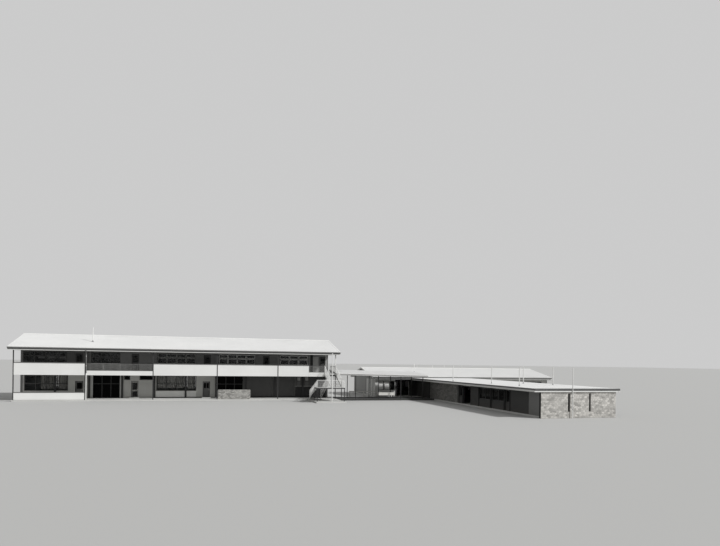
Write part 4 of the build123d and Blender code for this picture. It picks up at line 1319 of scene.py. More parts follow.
    def curtain(self, name: str, window: Window, span: Span, cloth: Cloth, drop: float) -> None:
        """Hang a gathered curtain behind part of a window.

        Across the curtain its depth swings as a sine whose phase drifts and whose height
        wavers, and the swing grows from the rail to the hem. The length of its curve at mid
        height is worked out but not used.

        Args:
            name: Name of the piece.
            window: The window.
            span: Shares of the window's width where it starts and ends.
            cloth: Its finish.
            drop: Share of the window's height that it covers, from the top.
        """
        left, right = window.ends
        start, end = (left + share * (right - left) for share in span)
        folds = max(2, round((end - start) / self.fold))
        across = np.linspace(0, 1, folds * 10 + 1)[:, None]
        up = np.linspace(0, 1, 13)
        top = window.glass.high[2] + self.curtain_top
        bottom = top - (window.glass.size[2] + 2 * self.curtain_top) * drop
        phase = 2 * math.pi * folds * across + self.drift[0] * np.sin(2 * math.pi * across * self.drift[1])
        swing = self.swing + self.hem_swing * (1 - up)
        depth = swing * np.sin(phase) * (1 + self.waver[0] * np.sin(self.waver[1] * across))
        points = window.place(
            start + (end - start) * across, bottom + (top - bottom) * up, -self.curtain_back - depth
        )
        length = np.linalg.norm(np.diff(points[:, len(up) // 2], axis=0), axis=1).sum()
        piece = Piece(name, cloth, "soffit_board", smooth=True).build(surface(points))

    def curtains(self) -> None:
        """Hang the curtains of the first and the third room of the ground floor."""
        ground, _ = self.fronts()
        for name, window, span, cloth, drop in (
            ("first_room_curtain", ground[0], (0.36, 0.68), GREY_CLOTH, 0.86),
            ("first_room_end_curtain", ground[0], (0.77, 0.98), GREY_CLOTH, 0.86),
            ("third_room_curtain", ground[2], (0.03, 0.70), PALE_CLOTH, 0.80),
            ("third_room_end_curtain", ground[2], (0.78, 0.97), PALE_CLOTH, 0.84),
        ):
            self.curtain(name, window, span, cloth, drop)
        rails = []
        for window in (ground[0], ground[2]):
            level = window.glass.high[2] + self.rail_lift
            ends = window.place(np.array(window.ends), level, -self.curtain_back)
            rails.append(rods(*ends, 0.006 * BACK, 0.004 * UP))
        Piece("curtain_rails", PALE_PAINT, "frame_paint").build(*rails)

    def infills(self) -> None:
        """Fill the narrow windows with painted panels, and lay patches of painted light on the first upper
        room's glass.

        The narrow windows are the end bay's two and the first two of the rear wing's front.
        """
        ground, upper = self.fronts()
        wing = [w for w in self.windows if w.side is Side.FRONT and w.glass.low[0] > upper[-1].glass.high[0]]
        wing.sort(key=lambda window: (-window.glass.low[1], window.glass.low[0]))
        shells = [window.panels(window.panes(self.bar), self.panel_faces) for window in wing[:2]]
        Piece("wing_window_panels", PALE_PANEL, "frame_paint").build(*shells)
        feet, tops = zip(*(
            [window.panels(pane, self.panel_faces) for pane in window.panes(self.bar)]
            for window in ground[-2:]
        ))
        Piece("narrow_window_tops", INFILL, "frame_paint").build(*tops)
        Piece("narrow_window_feet", SASH_PAINT, "frame_paint").build(*feet)
        # Lighter patches on the first upper room's dark glass: painted light for daylight seen through the
        # room.
        window = upper[0]
        left, width = window.glass.low[0], window.glass.size[0]
        foot, head = (window.transom - drop for drop in self.light_patch_drop)
        light_patches = [(left + a * width, foot, left + b * width, head) for a, b in self.light_patches]
        Piece("first_room_light_patches", SASH_PAINT, "frame_paint").build(window.panels(light_patches, self.light_patch_faces))

    def build(self) -> None:
        """Make the glass, the sashes, the sills, the curtains and the panels."""
        self.find()
        self.glass()
        self.sashes()
        self.sills()
        self.curtains()
        self.infills()


@dataclass
class BlockRoof:
    """Cladding, ridge caps, verges and gutter fittings of both gable roofs."""

    cladding: Cladding = Cladding()
    stop_end: float = 0.004
    strap_pitch: float = 0.61
    strap_inset: float = 0.2
    strap_width: float = 0.014
    strap_depth: float = 0.003
    strap_drop: float = 0.004
    bead: float = 0.006
    block_bead: Span = (0.05, 0.103)
    wing_bead: Span = (0.0, 0.017)

    def sheets(self) -> None:
        """Lay the corrugated sheets on the four slopes."""
        for node in SLOPES:
            self.cladding.lay(node + "_sheeting", ROOF_SHEET, RoofFace.of(node), Axis.Y, laps=1)

    def flashings(self) -> None:
        """Cap both ridges and fold the flashings down the verges."""
        faces = [RoofFace.of(node) for node in SLOPES]
        caps = Piece("ridge_flashings", FLASHING, "roof_sheet", stands_for=("ridge_caps",), smooth=True)
        caps.build(*(self.cladding.ridge(face) for face in faces[::2]))
        verges = [self.cladding.verge(face, side) for face in faces for side in (Side.LEFT, Side.RIGHT)]
        Piece("verge_flashings", FLASHING, "roof_sheet").build(*verges)

    def gutter_fittings(self) -> None:
        """Close the gutters' ends and carry them on straps."""
        ends, straps = [], []
        for gutter in boxes_of("eaves_gutters"):
            low, high = gutter.low, gutter.high
            ends.append(blocks(low, (low[0] + self.stop_end, *high[1:])))
            ends.append(blocks((high[0] - self.stop_end, *low[1:]), high))
            count = int((high[0] - low[0]) / self.strap_pitch)
            x = np.linspace(low[0] + self.strap_inset, high[0] - self.strap_inset, count)
            near = low[1] - self.strap_depth
            outer = near if low[1] < box_of("upper_floor").low[1] else high[1]
            foot = low[2] - self.strap_drop
            for y0, y1, top in ((near, high[1], low[2]), (outer, outer + self.strap_depth, high[2])):
                straps.append(blocks(at(x, y0, foot), at(x + self.strap_width, y1, top)))
        Piece("gutter_stop_ends", GUTTER_SHADOW_PAINT, "gutter_paint").build(*ends)
        Piece("gutter_straps", GUTTER_SHADOW_PAINT, "gutter_paint").build(*straps)

    def beads(self) -> None:
        """Run a dark bead along each fascia as painted shadow: under the gutter on the block, at the foot on
        the wing.
        """
        shells = []
        for fascia in boxes_of("eaves_fascias"):
            low, high = fascia.low, fascia.high
            block = low[2] > box_of("upper_floor").high[2]
            middle = box_of(SLOPES[0 if block else 2]).centre[1]
            y = low[1] - self.bead if high[1] < middle else high[1]
            foot, top = self.block_bead if block else self.wing_bead
            shells.append(blocks((low[0], y, low[2] + foot), (high[0], y + self.bead, low[2] + top)))
        Piece("fascia_shadow_beads", GUTTER_SHADOW_PAINT, "gutter_paint").build(*shells)

    def build(self) -> None:
        """Make the sheets, the flashings, the gutters' fittings and the beads."""
        self.sheets()
        self.flashings()
        self.gutter_fittings()
        self.beads()


@dataclass(frozen=True)
class Bars:
    """Upright bars between a bottom rail and a handrail, with stiffer posts.

    The sizes across the bars, posts and rails are halves of their widths.
    """

    bar: float = 0.0045
    pitch: float = 0.062
    stile: float = 0.0125
    stile_pitch: float = 0.915
    stile_end: float = 0.2
    flat: float = 0.008
    rail: float = 0.012
    handrail: float = 0.014

    def panel(self, points: Array) -> tuple[Shell, Shell]:
        """Fill the outline of a railing with bars.

        Upright bars stand at equal steps along the panel, from its lower to its upper edge,
        and a post replaces the bar at each larger step.

        Args:
            points: Points of the railing's solid.

        Returns:
            The bars' shell, and that of the posts and rails.
        """
        box = Box(points.min(0), points.max(0))
        run = 0 if box.size[0] > box.size[1] else 1
        along, across = np.eye(3)[run], np.eye(3)[1 - run]
        feet, heads = [], []
        for edge in (box.low[run], box.high[run]):
            levels = points[np.abs(points[:, run] - edge) < 1e-4][:, 2]
            for corners, level in ((feet, levels.min()), (heads, levels.max())):
                corner = box.centre
                corner[run], corner[2] = edge, level
                corners.append(corner)

        def uprights(share: Array, half: float, thick: float) -> Shell:
            """Stand bars at shares of the panel's length."""
            low, high = (start + share * (end - start) for start, end in (feet, heads))
            return rods(low, high, half * along, thick * across)

        length = box.size[run]
        count = max(2, round(length / self.pitch))
        bars = uprights(np.linspace(0, 1, count + 1)[1:-1, None], self.bar, self.bar)
        inset = self.stile * along
        frame_parts = [
            rods(feet[0] + inset, heads[0] + inset, inset, self.flat * across),
            rods(feet[1] - inset, heads[1] - inset, inset, self.flat * across),
        ]
        share = np.arange(self.stile_pitch, length - self.stile_end, self.stile_pitch)[:, None] / length
        if len(share):
            frame_parts.append(uprights(share, self.stile, self.flat))
        rise = self.rail * UP
        frame_parts.append(rods(feet[0] + rise, feet[1] + rise, rise, self.flat * across))
        frame_parts.append(rods(heads[0] - rise, heads[1] - rise, rise, self.handrail * across))
        return bars, join(frame_parts)

    def panels(self, *nodes: str) -> tuple[tuple[Shell, ...], tuple[Shell, ...]]:
        """Fill every railing of some nodes, and return the bars' and the frames' shells."""
        return tuple(zip(*(self.panel(points) for node in nodes for points in solids_of(node))))


@dataclass
class Verandah:
    """Barred railings, copings, post plates and pipes of the two-storey block's front."""

    bars: Bars = Bars(bar=0.0035)
    proud: float = 0.006
    upper_coping: Span = (0.045, 0.004)
    ground_coping: Span = (0.017, 0.03)
    sleeve_gap: float = 0.05
    sleeve: float = 0.004
    corner_board: Span = (0.03, 0.012)
    plate: float = 0.018
    plate_depth: float = 0.006
    bolt: float = 0.004
    bolt_top: float = 0.011
    bolt_inset: float = 0.009
    downpipe: float = 0.026
    clip_pitch: float = 0.55
    clip: Span = (0.018, 0.003)
    lowest_clip: float = 0.35
    outlet: float = 0.004
    joint_lap: float = 0.01
    neck_drop: float = 0.28
    post_gap: Span = (0.004, 0.002)
    wall_gap: float = 0.008
    rear_insets: Span = (0.4, 0.6)
    rear_foot: float = 0.085
    beam_depth: float = 0.09
    beam_inset: float = 0.008

    def railings(self) -> None:
        """Fill the open bays' railings with pale bars between darker posts and rails."""
        node = "verandah_railings"
        bars, frames = self.bars.panels(node)
        Piece("verandah_bars", BAR_STEEL, "rail_steel", stands_for=(node,)).build(*bars)
        Piece("verandah_rail_frames", RAIL_STEEL, "dark_paint").build(*frames)

    def copings(self) -> None:
        """Cap each parapet with a dark coping that stands a little proud of it."""
        shells = []
        for node, (drop, rise) in (
            ("upper_parapets", self.upper_coping), ("ground_parapet", self.ground_coping)
        ):
            for wall in boxes_of(node):
                (x0, y0, _), (x1, y1, top) = wall.low, wall.high
                shells.append(blocks((x0, y0 - self.proud, top - drop), (x1, y1 + self.proud, top + rise)))
        Piece("parapet_copings", COPING, "dark_paint").build(*shells)

    def trims(self) -> None:
        """Sleeve the last post and board the corner of the upper wall beside it."""
        post = max(boxes_of("verandah_posts"), key=lambda box: box.low[0])
        top = box_of("upper_parapets").high[2]
        x0, y0 = post.low[:2] - self.sleeve
        x1, y1 = post.high[:2] + self.sleeve
        wall = box_of("upper_front_wall")
        wide, thick = self.corner_board
        corner = (wall.high[0] - wide, wall.low[1] - thick, wall.low[2])
        Piece("end_trims", WHITE_STEEL, "white_paint").build(
            blocks((x0, y0, top), (x1, y1, post.high[2] - self.sleeve_gap)),
            blocks(corner, (wall.high[0], wall.low[1], wall.high[2])),
        )

    def plates(self) -> None:
        """Bolt a base plate under each post, with four bolt heads."""
        plates, bolts = [], []
        for node in ("verandah_posts", "way_posts", "landing_posts"):
            for post in boxes_of(node):
                (x, y), foot = post.centre[:2], post.low[2]
                reach = post.size[:2].max() / 2 + self.plate
                top = foot + self.plate_depth
                plates.append(blocks((x - reach, y - reach, foot), (x + reach, y + reach, top)))
                out = reach - self.bolt_inset
                bolts += [
                    pipe(x + dx * out, y + dy * out, top, foot + self.bolt_top, self.bolt, 6)
                    for dx in (-1, 1)
                    for dy in (-1, 1)
                ]
        Piece("post_base_plates", DARK_STEEL, "dark_paint").build(*plates)
        Piece("post_bolts", METAL, "vent_pipe").build(*bolts)

    def pipes(self) -> None:
        """Run the downpipes from the gutters to the ground.

        Each starts in a swan neck: its distance from the wall follows a cosine from the
        gutter's outlet to the line of the pipe. The front one is dark down to the upper
        floor and follows a post, and the rear ones hang down the rear wall.
        """
        shells, heads, clips = [], [], []
        gutters = boxes_of("eaves_gutters")
        front = min(gutters, key=lambda box: box.low[1])
        rear = max((box for box in gutters if box.low[2] > 2), key=lambda box: box.low[1])
        post = boxes_of("verandah_posts")[1]
        wall = box_of("end_walls").high[1] + self.downpipe + self.wall_gap
        turn = np.linspace(0, 1, 13)
        neck = (1 - np.cos(math.pi * turn)) / 2
        z = front.low[2] + self.outlet - self.neck_drop * turn
        joint = z[-1] - self.joint_lap
        floor = min(box_of("upper_floor").low[2], joint)
        beside, before = (self.downpipe + gap for gap in self.post_gap)
        left, right = self.rear_insets
        wide, proud = self.clip
        for x, outlet, line, split, foot in (
            (post.high[0] + beside, front.centre[1], post.low[1] - before, floor, 0.0),
            (rear.low[0] + left, rear.centre[1], wall, joint, self.rear_foot),
            (rear.high[0] - right, rear.centre[1], wall, joint, self.rear_foot),
        ):
            path = np.vstack((at(x, outlet + (line - outlet) * neck, z), (x, line, split)))
            heads.append(tube(path, self.downpipe, 18))
            shells.append(pipe(x, line, split, foot, self.downpipe, 18))
            for level in np.arange(self.lowest_clip, z.min(), self.clip_pitch):
                clips.append(pipe(x, line, level, level + wide, self.downpipe + proud, 18))
        Piece("downpipes", WHITE_STEEL, "white_paint", smooth=True).build(*shells)
        Piece("downpipe_heads", RAIL_STEEL, "dark_paint", smooth=True).build(*heads)
        Piece("downpipe_clips", WHITE_STEEL, "white_paint", smooth=True).build(*clips)

    def beams(self) -> None:
        """Carry the upper floor on beams from each post to the wall."""
        top = box_of("upper_floor").low[2]
        wall = box_of("ground_front_wall").low[1]
        shells = []
        for post in boxes_of("verandah_posts"):
            start = (post.low[0] + self.beam_inset, post.high[1], top - self.beam_depth)
            shells.append(blocks(start, (post.high[0] - self.beam_inset, wall, top)))
        Piece("floor_beams", DARK_STEEL, "dark_paint").build(*shells)

    def build(self) -> None:
        """Make the railings, copings, trims, plates, pipes and beams."""
        self.railings()
        self.copings()
        self.trims()
        self.plates()
        self.pipes()
        self.beams()


@dataclass(frozen=True)
class Lever:
    """Lever handle on a plate, on both faces of a door."""

    inset: float = 0.03
    level: float = 0.5
    plate_width: float = 0.024
    plate_height: float = 0.1
    plate: float = 0.003
    reach: float = 0.018
    bend: float = 0.010
    length: float = 0.06
    half_width: float = 0.003
    half_height: float = 0.004

    def shells(self, door: Box, leaf: float) -> list[Shell]:
        """Make the plates and the levers, whose necks bend as a quarter of an ellipse.

        Args:
            door: Box of the door's node.
            leaf: Thickness of the leaf.

        Returns:
            Two plates and two levers.
        """
        x, z = door.high[0] - self.inset, door.low[2] + self.level
        front, back = door.low[1], door.low[1] + leaf
        wide, tall = self.plate_width / 2, self.plate_height / 2
        parts = [
            blocks((x - wide, y0, z - tall), (x + wide, y1, z + tall))
            for y0, y1 in ((front - self.plate, front), (back, back + self.plate))
        ]
        turn = np.linspace(0, math.pi / 2, 6)
        for start, out in ((front - self.plate, -1.0), (back + self.plate, 1.0)):
            reach = out * self.reach
            path = at(x - self.bend * (1 - np.cos(turn)), start + reach * np.sin(turn), z)
            path = np.vstack((path, (x - self.length, start + reach, z)))
            across = self.half_width * out * (ALONG + BACK)
            parts.append(rods(path[:-1], path[1:], self.half_height * UP, across))
        return parts


@dataclass
class RoomFronts:
    """Doors, boarding and trims of the two-storey block's room fronts."""

    hinge_inset: float = 0.0095
    leaf: float = 0.025
    lever: Lever = Lever()
    pane: float = 0.002
    pane_insets: Span = (0.003, 0.005)
    bead: float = 0.009
    bead_faces: Span = (-0.0025, 0.001)
    board: float = 0.012
    skin: float = 0.006
    skirting: float = 0.05
    skirting_depth: float = 0.02
    bounce_panel_depth: float = 0.008
    bounce_panel_gap: float = 0.02
    sill_drop: float = 0.012
    sill_lap: float = 0.003
    shutter_gap: float = 0.03
    door_gap: float = 0.03
    entrance_jamb: float = 0.03
    hall_jamb: float = 0.022
    hall_gaps: Point = (0.045, 0.02, 0.03)
    jamb_proud: float = 0.012
    surround: float = 0.02
    surround_proud: float = 0.008
    light_trim: float = 0.012
    light_proud: float = 0.006
    upper_light: Point = (0.06, 0.55, 0.08)
    pull: tuple[Point, Point] = ((0.05, 0.022, 0.48), (0.02, 0.0, 0.50))
    last_panel: Span = (0.44, 0.085)
    last_slot: float = 0.175
    first_lights: tuple = (((0.14, 0.86), (0.55, 0.92)),)
    hall_lights: tuple = (((0.14, 0.86), (0.5, 0.92)), ((0.14, 0.86), (0.08, 0.4)))
    classroom_lights: tuple = (((0.12, 0.46), (0.6, 0.92)), ((0.54, 0.88), (0.6, 0.92)))

    def light_edges(self, door: Box, lights: tuple) -> list[tuple[Span, Span]]:
        """Find the edges of each light of a door leaf.

        Args:
            door: Box of the door's node.
            lights: Shares of the leaf's width and height that each light takes.

        Returns:
            The left and right edge and the lowest and highest level of each light.
        """
        left, foot = door.low[0] + self.hinge_inset, door.low[2]
        wide, tall = door.high[0] - left, door.high[2] - foot
        return [
            ((left + a * wide, left + b * wide), (foot + c * tall, foot + d * tall))
            for (a, b), (c, d) in lights
        ]

    def doors(self) -> None:
        """Glaze the ground-floor doors and fit their handles, on their own bodies."""
        for node, lights, glass in (
            ("first_classroom_door", self.first_lights, DARK_GLASS),
            ("hall_door", self.hall_lights, UPPER_GLASS),
            ("classroom_door", self.classroom_lights, DARK_GLASS),
        ):
            door = box_of(node)
            front = door.low[1]
            panes, beads = [], []
            for x, z in self.light_edges(door, lights):
                for y in (front + self.pane_insets[0], front + self.leaf - self.pane_insets[1]):
                    panes.append(blocks((x[0], y, z[0]), (x[1], y + self.pane, z[1])))
                beads += rim(x, z, tuple(front + face for face in self.bead_faces), self.bead)
            Piece(node + "_panes", glass, "glass", body=node).build(*panes)
            Piece(node + "_beads", SASH_PAINT, "door_paint", body=node).build(*beads)
            Piece(node + "_handle", METAL, "vent_pipe", body=node).build(*self.lever.shells(door, self.leaf))

    def upper_doors(self) -> None:
        """Glaze the upper half of each upper door and trim it."""
        panes, trims, handles = [], [], []
        wall = box_of("upper_front_wall").low[1]
        side, sill, head = self.upper_light
        wide = self.surround
        for door in boxes_of("upper_door_leaves"):
            (x0, y, z0), (x1, _, z1) = door.low, door.high
            light_x, light_z = (x0 + side, x1 - side), (z0 + sill, z1 - head)
            out = y - self.pane_insets[0]
            panes.append(blocks((light_x[0], out, light_z[0]), (light_x[1], y, light_z[1])))
            trims += rim(light_x, light_z, (y - self.light_proud, y), self.light_trim)
            for a, b, c, d in (
                (x0 - wide, z0, x0, z1 + wide), (x1, z0, x1 + wide, z1 + wide), (x0, z1, x1, z1 + wide)
            ):
                trims.append(blocks((a, wall - self.surround_proud, b), (c, wall, d)))
            handles.append(blocks(*((x1 - inset, y - reach, z0 + rise) for inset, reach, rise in self.pull)))
        Piece("upper_door_panes", GLASS, "glass").build(*panes)
        Piece("upper_door_trims", SASH_PAINT, "door_paint").build(*trims)
        Piece("upper_door_handles", METAL, "vent_pipe").build(*handles)

    def boarding(self) -> None:
        """Board the last bays darkly round the shutters and narrow windows, above a black dado."""
        wall, shutters = box_of("ground_front_wall"), boxes_of("shutter_boards")
        (_, face, foot), (right, rear, head) = wall.low, wall.high
        glass = [box for box in boxes_of("window_glass") if box.high[2] < head and box.high[1] < rear]
        narrow = [box for box in glass if box.low[0] > shutters[-1].high[0]]
        left = max(box.high[0] for box in glass if box.high[0] < shutters[0].low[0])
        Piece("dark_boarding", DARK_BOARDS, "shutter_boards", thickness=self.board).build(
            cover(
                Side.FRONT, face - self.board, (left, right), (foot, head),
                [box.hole for box in shutters + narrow],
            )
        )
        start = shutters[-1].high[0] + self.shutter_gap
        sill = narrow[0].low[2]
        out = face - self.board - self.skin
        under = sill - self.sill_drop
        Piece("end_bay_dado", DADO, "shutter_boards", thickness=self.skin).build(
            cover(Side.FRONT, out, (start, right), (foot, under))
        )
        line = blocks((start, out - self.sill_drop, under), (right, face, sill + self.sill_lap))
        Piece("end_bay_sill", PALE_PAINT, "frame_paint").build(line)
        door, column = box_of("classroom_door"), boxes_of("wall_columns")[3]
        hole = (door.low[0] - self.door_gap, door.high[0] + self.door_gap, foot, head)
        third = min((box for box in glass if box.low[0] > column.low[0]), key=lambda box: box.low[0])
        top, deep = foot + self.skirting, self.skirting_depth
        Piece("wall_skirting", DADO, "shutter_boards", thickness=deep).build(
            cover(Side.FRONT, face - deep, (column.high[0], left), (foot, top), [hole]),
            cover(Side.FRONT, face - deep, (left, start), (foot, shutters[0].low[2])),
        )
        # A pale panel at the third room's wall foot: painted light for the bounce off the floor.
        run = (column.high[0] + self.bounce_panel_gap, third.high[0])
        Piece("third_room_bounce_light", PALE_PANEL, "wall_render", thickness=self.bounce_panel_depth).build(
            cover(Side.FRONT, face - self.bounce_panel_depth, run, (top, third.low[2] - self.bounce_panel_gap))
        )

    def surrounds(self) -> None:
        """Skin the first upper room darkly as painted shade, panel the last one and strip the entrance and
        hall door.
        """
        wall = box_of("upper_front_wall")
        (x0, face, foot), (_, rear, head) = wall.low, wall.high
        right = solids_of("wall_columns")[1].mean(0)[0]
        doors, glass = boxes_of("upper_door_leaves"), boxes_of("window_glass")
        holes = [
            box.hole
            for box in glass + doors
            if box.high[0] < right and box.low[2] > foot - NEAR and box.high[1] < rear
        ]
        out = face - self.skin
        Piece("first_room_painted_shade", UPPER_PAINTED_SHADE, "wall_render", thickness=self.skin).build(
            cover(Side.FRONT, out, (x0, right), (foot, head), holes)
        )
        last = max(doors, key=lambda box: box.low[0])
        near, far = (last.low[0] - reach for reach in self.last_panel)
        panel = blocks((near, out, foot), (far, face, last.high[2]))
        Piece("last_room_panel", INFILL, "frame_paint").build(panel)
        slot = blocks((near - self.last_slot, out, foot), (near, face, head))
        Piece("last_room_slot", BLACK_PAINT_AND_SHADE, "frame_paint").build(slot)
        entrance = min((box for box in glass if box.high[1] < rear), key=lambda box: box.low[2])
        door = box_of("hall_door")
        face = box_of("ground_front_wall").low[1]
        wide, (near, far, rise) = self.entrance_jamb, self.hall_gaps
        top = (entrance.high[2], door.high[2] + rise)
        jambs = (
            (entrance.low[0] - wide, wide, top[0]),
            (entrance.high[0], wide, top[0]),
            (door.low[0] - near, self.hall_jamb, top[1]),
            (door.high[0] + far, self.hall_jamb, top[1]),
        )
        edges, widths, heads = np.transpose(jambs)
        Piece("entrance_jambs", PALE_PAINT, "frame_paint").build(
            blocks(at(edges, face - self.jamb_proud, entrance.low[2]), at(edges + widths, face, heads))
        )

    def build(self) -> None:
        """Make the doors' fittings, the boarding and the surrounds."""
        self.doors()
        self.upper_doors()
        self.boarding()
        self.surrounds()


@dataclass
class OutsideStair:
    """Barred balustrades, nosings and landing trim of the stair."""

    bars: Bars = Bars(bar=0.005)
    nosing: float = 0.012
    nosing_lip: float = 0.002
    edging: float = 0.006
    edging_lip: float = 0.004
    cap: float = 0.003
    cap_drop: float = 0.03
    dome: float = 0.012
    clamp: float = 0.03
    clamp_levels: Span = (0.01, 0.3)
    clamp_thick: float = 0.005
    bracket: float = 0.02
    bracket_bite: float = 0.01

    def balustrades(self) -> None:
        """Fill the flights' and the landing's balustrades with white bars."""
        nodes = ("stair_balustrades", "landing_balustrades")
        bars, frames = self.bars.panels(*nodes)
        Piece("stair_bars", WHITE_STEEL, "rail_steel", stands_for=nodes).build(*bars)
        Piece("stair_rail_frames", WHITE_STEEL, "white_paint").build(*frames)

    def nosings(self) -> None:
        """Edge each tread with a pale nosing, and the landing's open sides with a dark edging."""
        landing = box_of("stair_landing")
        shells = []
        for tread in boxes_of("stair_treads"):
            (x0, y0, _), (x1, y1, top) = tread.low, tread.high
            front, half = y0 if top > landing.high[2] else y1, self.nosing / 2
            head = top + self.nosing_lip
            shells.append(blocks((x0, front - half, top - self.nosing), (x1, front + half, head)))
        Piece("tread_nosings", PALE_PAINT, "white_paint").build(*shells)
        (x0, y0, foot), (x1, y1, top) = landing.low, landing.high
        edge, lip = self.edging, top + self.edging_lip
        Piece("landing_edging", STAIR_STEEL, "stair_paint").build(
            blocks((x0 - edge, y0 - edge, foot), (x1 + edge, y0, lip)),
            blocks((x0 - edge, y0, foot), (x0, y1, lip)),
            blocks((x1, y0, foot), (x1 + edge, y1, lip)),
        )

    def mast_fittings(self) -> None:
        """Cap the tall pole and clamp it to the landing."""
        mast, landing = box_of("stair_mast"), box_of("stair_landing")
        (x, y), top = mast.centre[:2], mast.high[2]
        radius = mast.size[0] / 2
        turn = np.linspace(0, math.pi / 2, 7)
        wide, half = radius + self.cap, self.bracket
        profile = np.column_stack((wide * np.cos(turn), top + self.dome * np.sin(turn)))
        shells = [revolve(x, y, np.vstack(((wide, top - self.cap_drop), profile)))]
        under, over = self.clamp_levels
        for level in (landing.low[2] + under, landing.high[2] + over):
            head = level + self.clamp
            shells.append(pipe(x, y, level, head, radius + self.clamp_thick, 24))
            end = landing.low[1] + self.bracket_bite
            shells.append(blocks((x - half, y, level), (x + half, end, head)))
        Piece("mast_fittings", WHITE_STEEL, "white_paint", smooth=True).build(*shells)

    def build(self) -> None:
        """Make the balustrades, the nosings and the pole's fittings."""
        self.balustrades()
        self.nosings()
        self.mast_fittings()


@dataclass
class CoveredWay:
    """Sheeting, gutters, fascias and rafters of the covered way, and its short bench."""

    cladding: Cladding = Cladding()
    gutter: GutterRun = GutterRun(0.038, 0.03)
    lip: float = 0.02
    fascia: float = 0.04
    fascia_thick: float = 0.030
    end_board: Span = (0.012, 0.09)
    flashing_reach: float = 0.044
    flashing_rise: Span = (0.012, 0.008)
    rafter: Span = (0.012, 0.024)
    rafter_insets: Span = (0.06, 0.02)
    bench_low: Point = (3.49, 2.28, 0.29)
    bench_high: Point = (4.63, 2.46, 0.47)
    bench_board: float = 0.025
    apron: Span = (0.006, 0.022)
    apron_end: float = 0.01
    trestle: float = 0.03
    trestle_insets: Span = (0.08, 0.11)
    rafter_pitch: float = 0.76
    rafter_drop: float = 0.065

    def roof(self) -> None:
        """Lay the sheets, hang the gutter and close the edges with a pale fascia."""
        face = RoofFace.of("way_roof")
        self.cladding.lay("way_roof_sheeting", ROOF_SHEET, face, Axis.Y, laps=0)
        low, high = face.box.low, face.box.high
        lip, out, thick = self.lip, self.flashing_reach, self.fascia_thick
        deep = lip + self.gutter.depth
        foot = deep + self.fascia
        inner, outer = self.flashing_rise
        flashing = ((0.0, inner), (out, outer), (out, -lip), (0.0, -lip))
        board = ((0.0, -deep), (thick, -deep), (thick, -foot), (0.0, -foot))
        flashings, gutters, fascias = [], [], []
        for y, side in ((low[1], Side.FRONT), (high[1], Side.BACK)):
            start, end = face.point(low[0], y), face.point(high[0], y)
            gutters.append(self.gutter.shell(start - lip * UP, end - lip * UP, side))
            flashings.append(prism(flashing, start, end, side.outward))
            fascias.append(prism(board, start, end, side.outward))
        thick, drop = self.end_board
        board = ((0.0, thick), (thick, thick), (thick, -drop), (0.0, -drop))
        ends = face.point(high[0], low[1]), face.point(high[0], high[1])
        fascias.append(prism(board, *ends, Side.RIGHT.outward))
        Piece("way_flashings", FLASHING, "roof_sheet").build(*flashings)
        # The near-black gutter is painted shadow under the roof's edge.
        Piece("way_gutters", GUTTER_SHADOW_PAINT, "gutter_paint").build(*gutters)
        Piece("way_fascias", FASCIA, "fascia_paint").build(*fascias)

    def rafters(self) -> None:
        """Set rafters under the roof between the two beams."""
        face = RoofFace.of("way_roof")
        (x0, y0, _), (x1, y1, _) = face.box.low, face.box.high
        (end, side), (wide, deep) = self.rafter_insets, self.rafter
        x = np.linspace(x0 + end, x1 - end, int((x1 - x0) / self.rafter_pitch))
        starts, ends = (at(x, y, face.level(x, y) - self.rafter_drop) for y in (y0 + side, y1 - side))
        Piece("way_rafters", DARK_STEEL, "dark_paint").build(rods(starts, ends, wide * ALONG, deep * UP))

    def short_bench(self) -> None:
        """Stand a shorter bench before the long one: a seat, two aprons and two trestles."""
        (x0, y0, z0), (x1, y1, z1) = self.bench_low, self.bench_high
        seat = z1 - self.bench_board
        end, (near, far), (left, right) = self.apron_end, self.apron, self.trestle_insets
        Piece("short_bench_boards", TIMBER, "bench_timber").build(
            blocks((x0, y0, seat), (x1, y1, z1)),
            blocks((x0 + end, y0 + near, z0), (x1 - end, y0 + far, seat)),
            blocks((x0 + end, y1 - far, z0), (x1 - end, y1 - near, seat)),
        )
        foot = box_of("way_bench").low[2]
        legs = [
            blocks((x, y0 + far, foot), (x + self.trestle, y1 - far, seat)) for x in (x0 + left, x1 - right)
        ]
        Piece("short_bench_legs", DARK_STEEL, "dark_paint").build(*legs)

    def build(self) -> None:
        """Make the roof's cladding, its rafters and the short bench."""
        self.roof()
        self.rafters()
        self.short_bench()


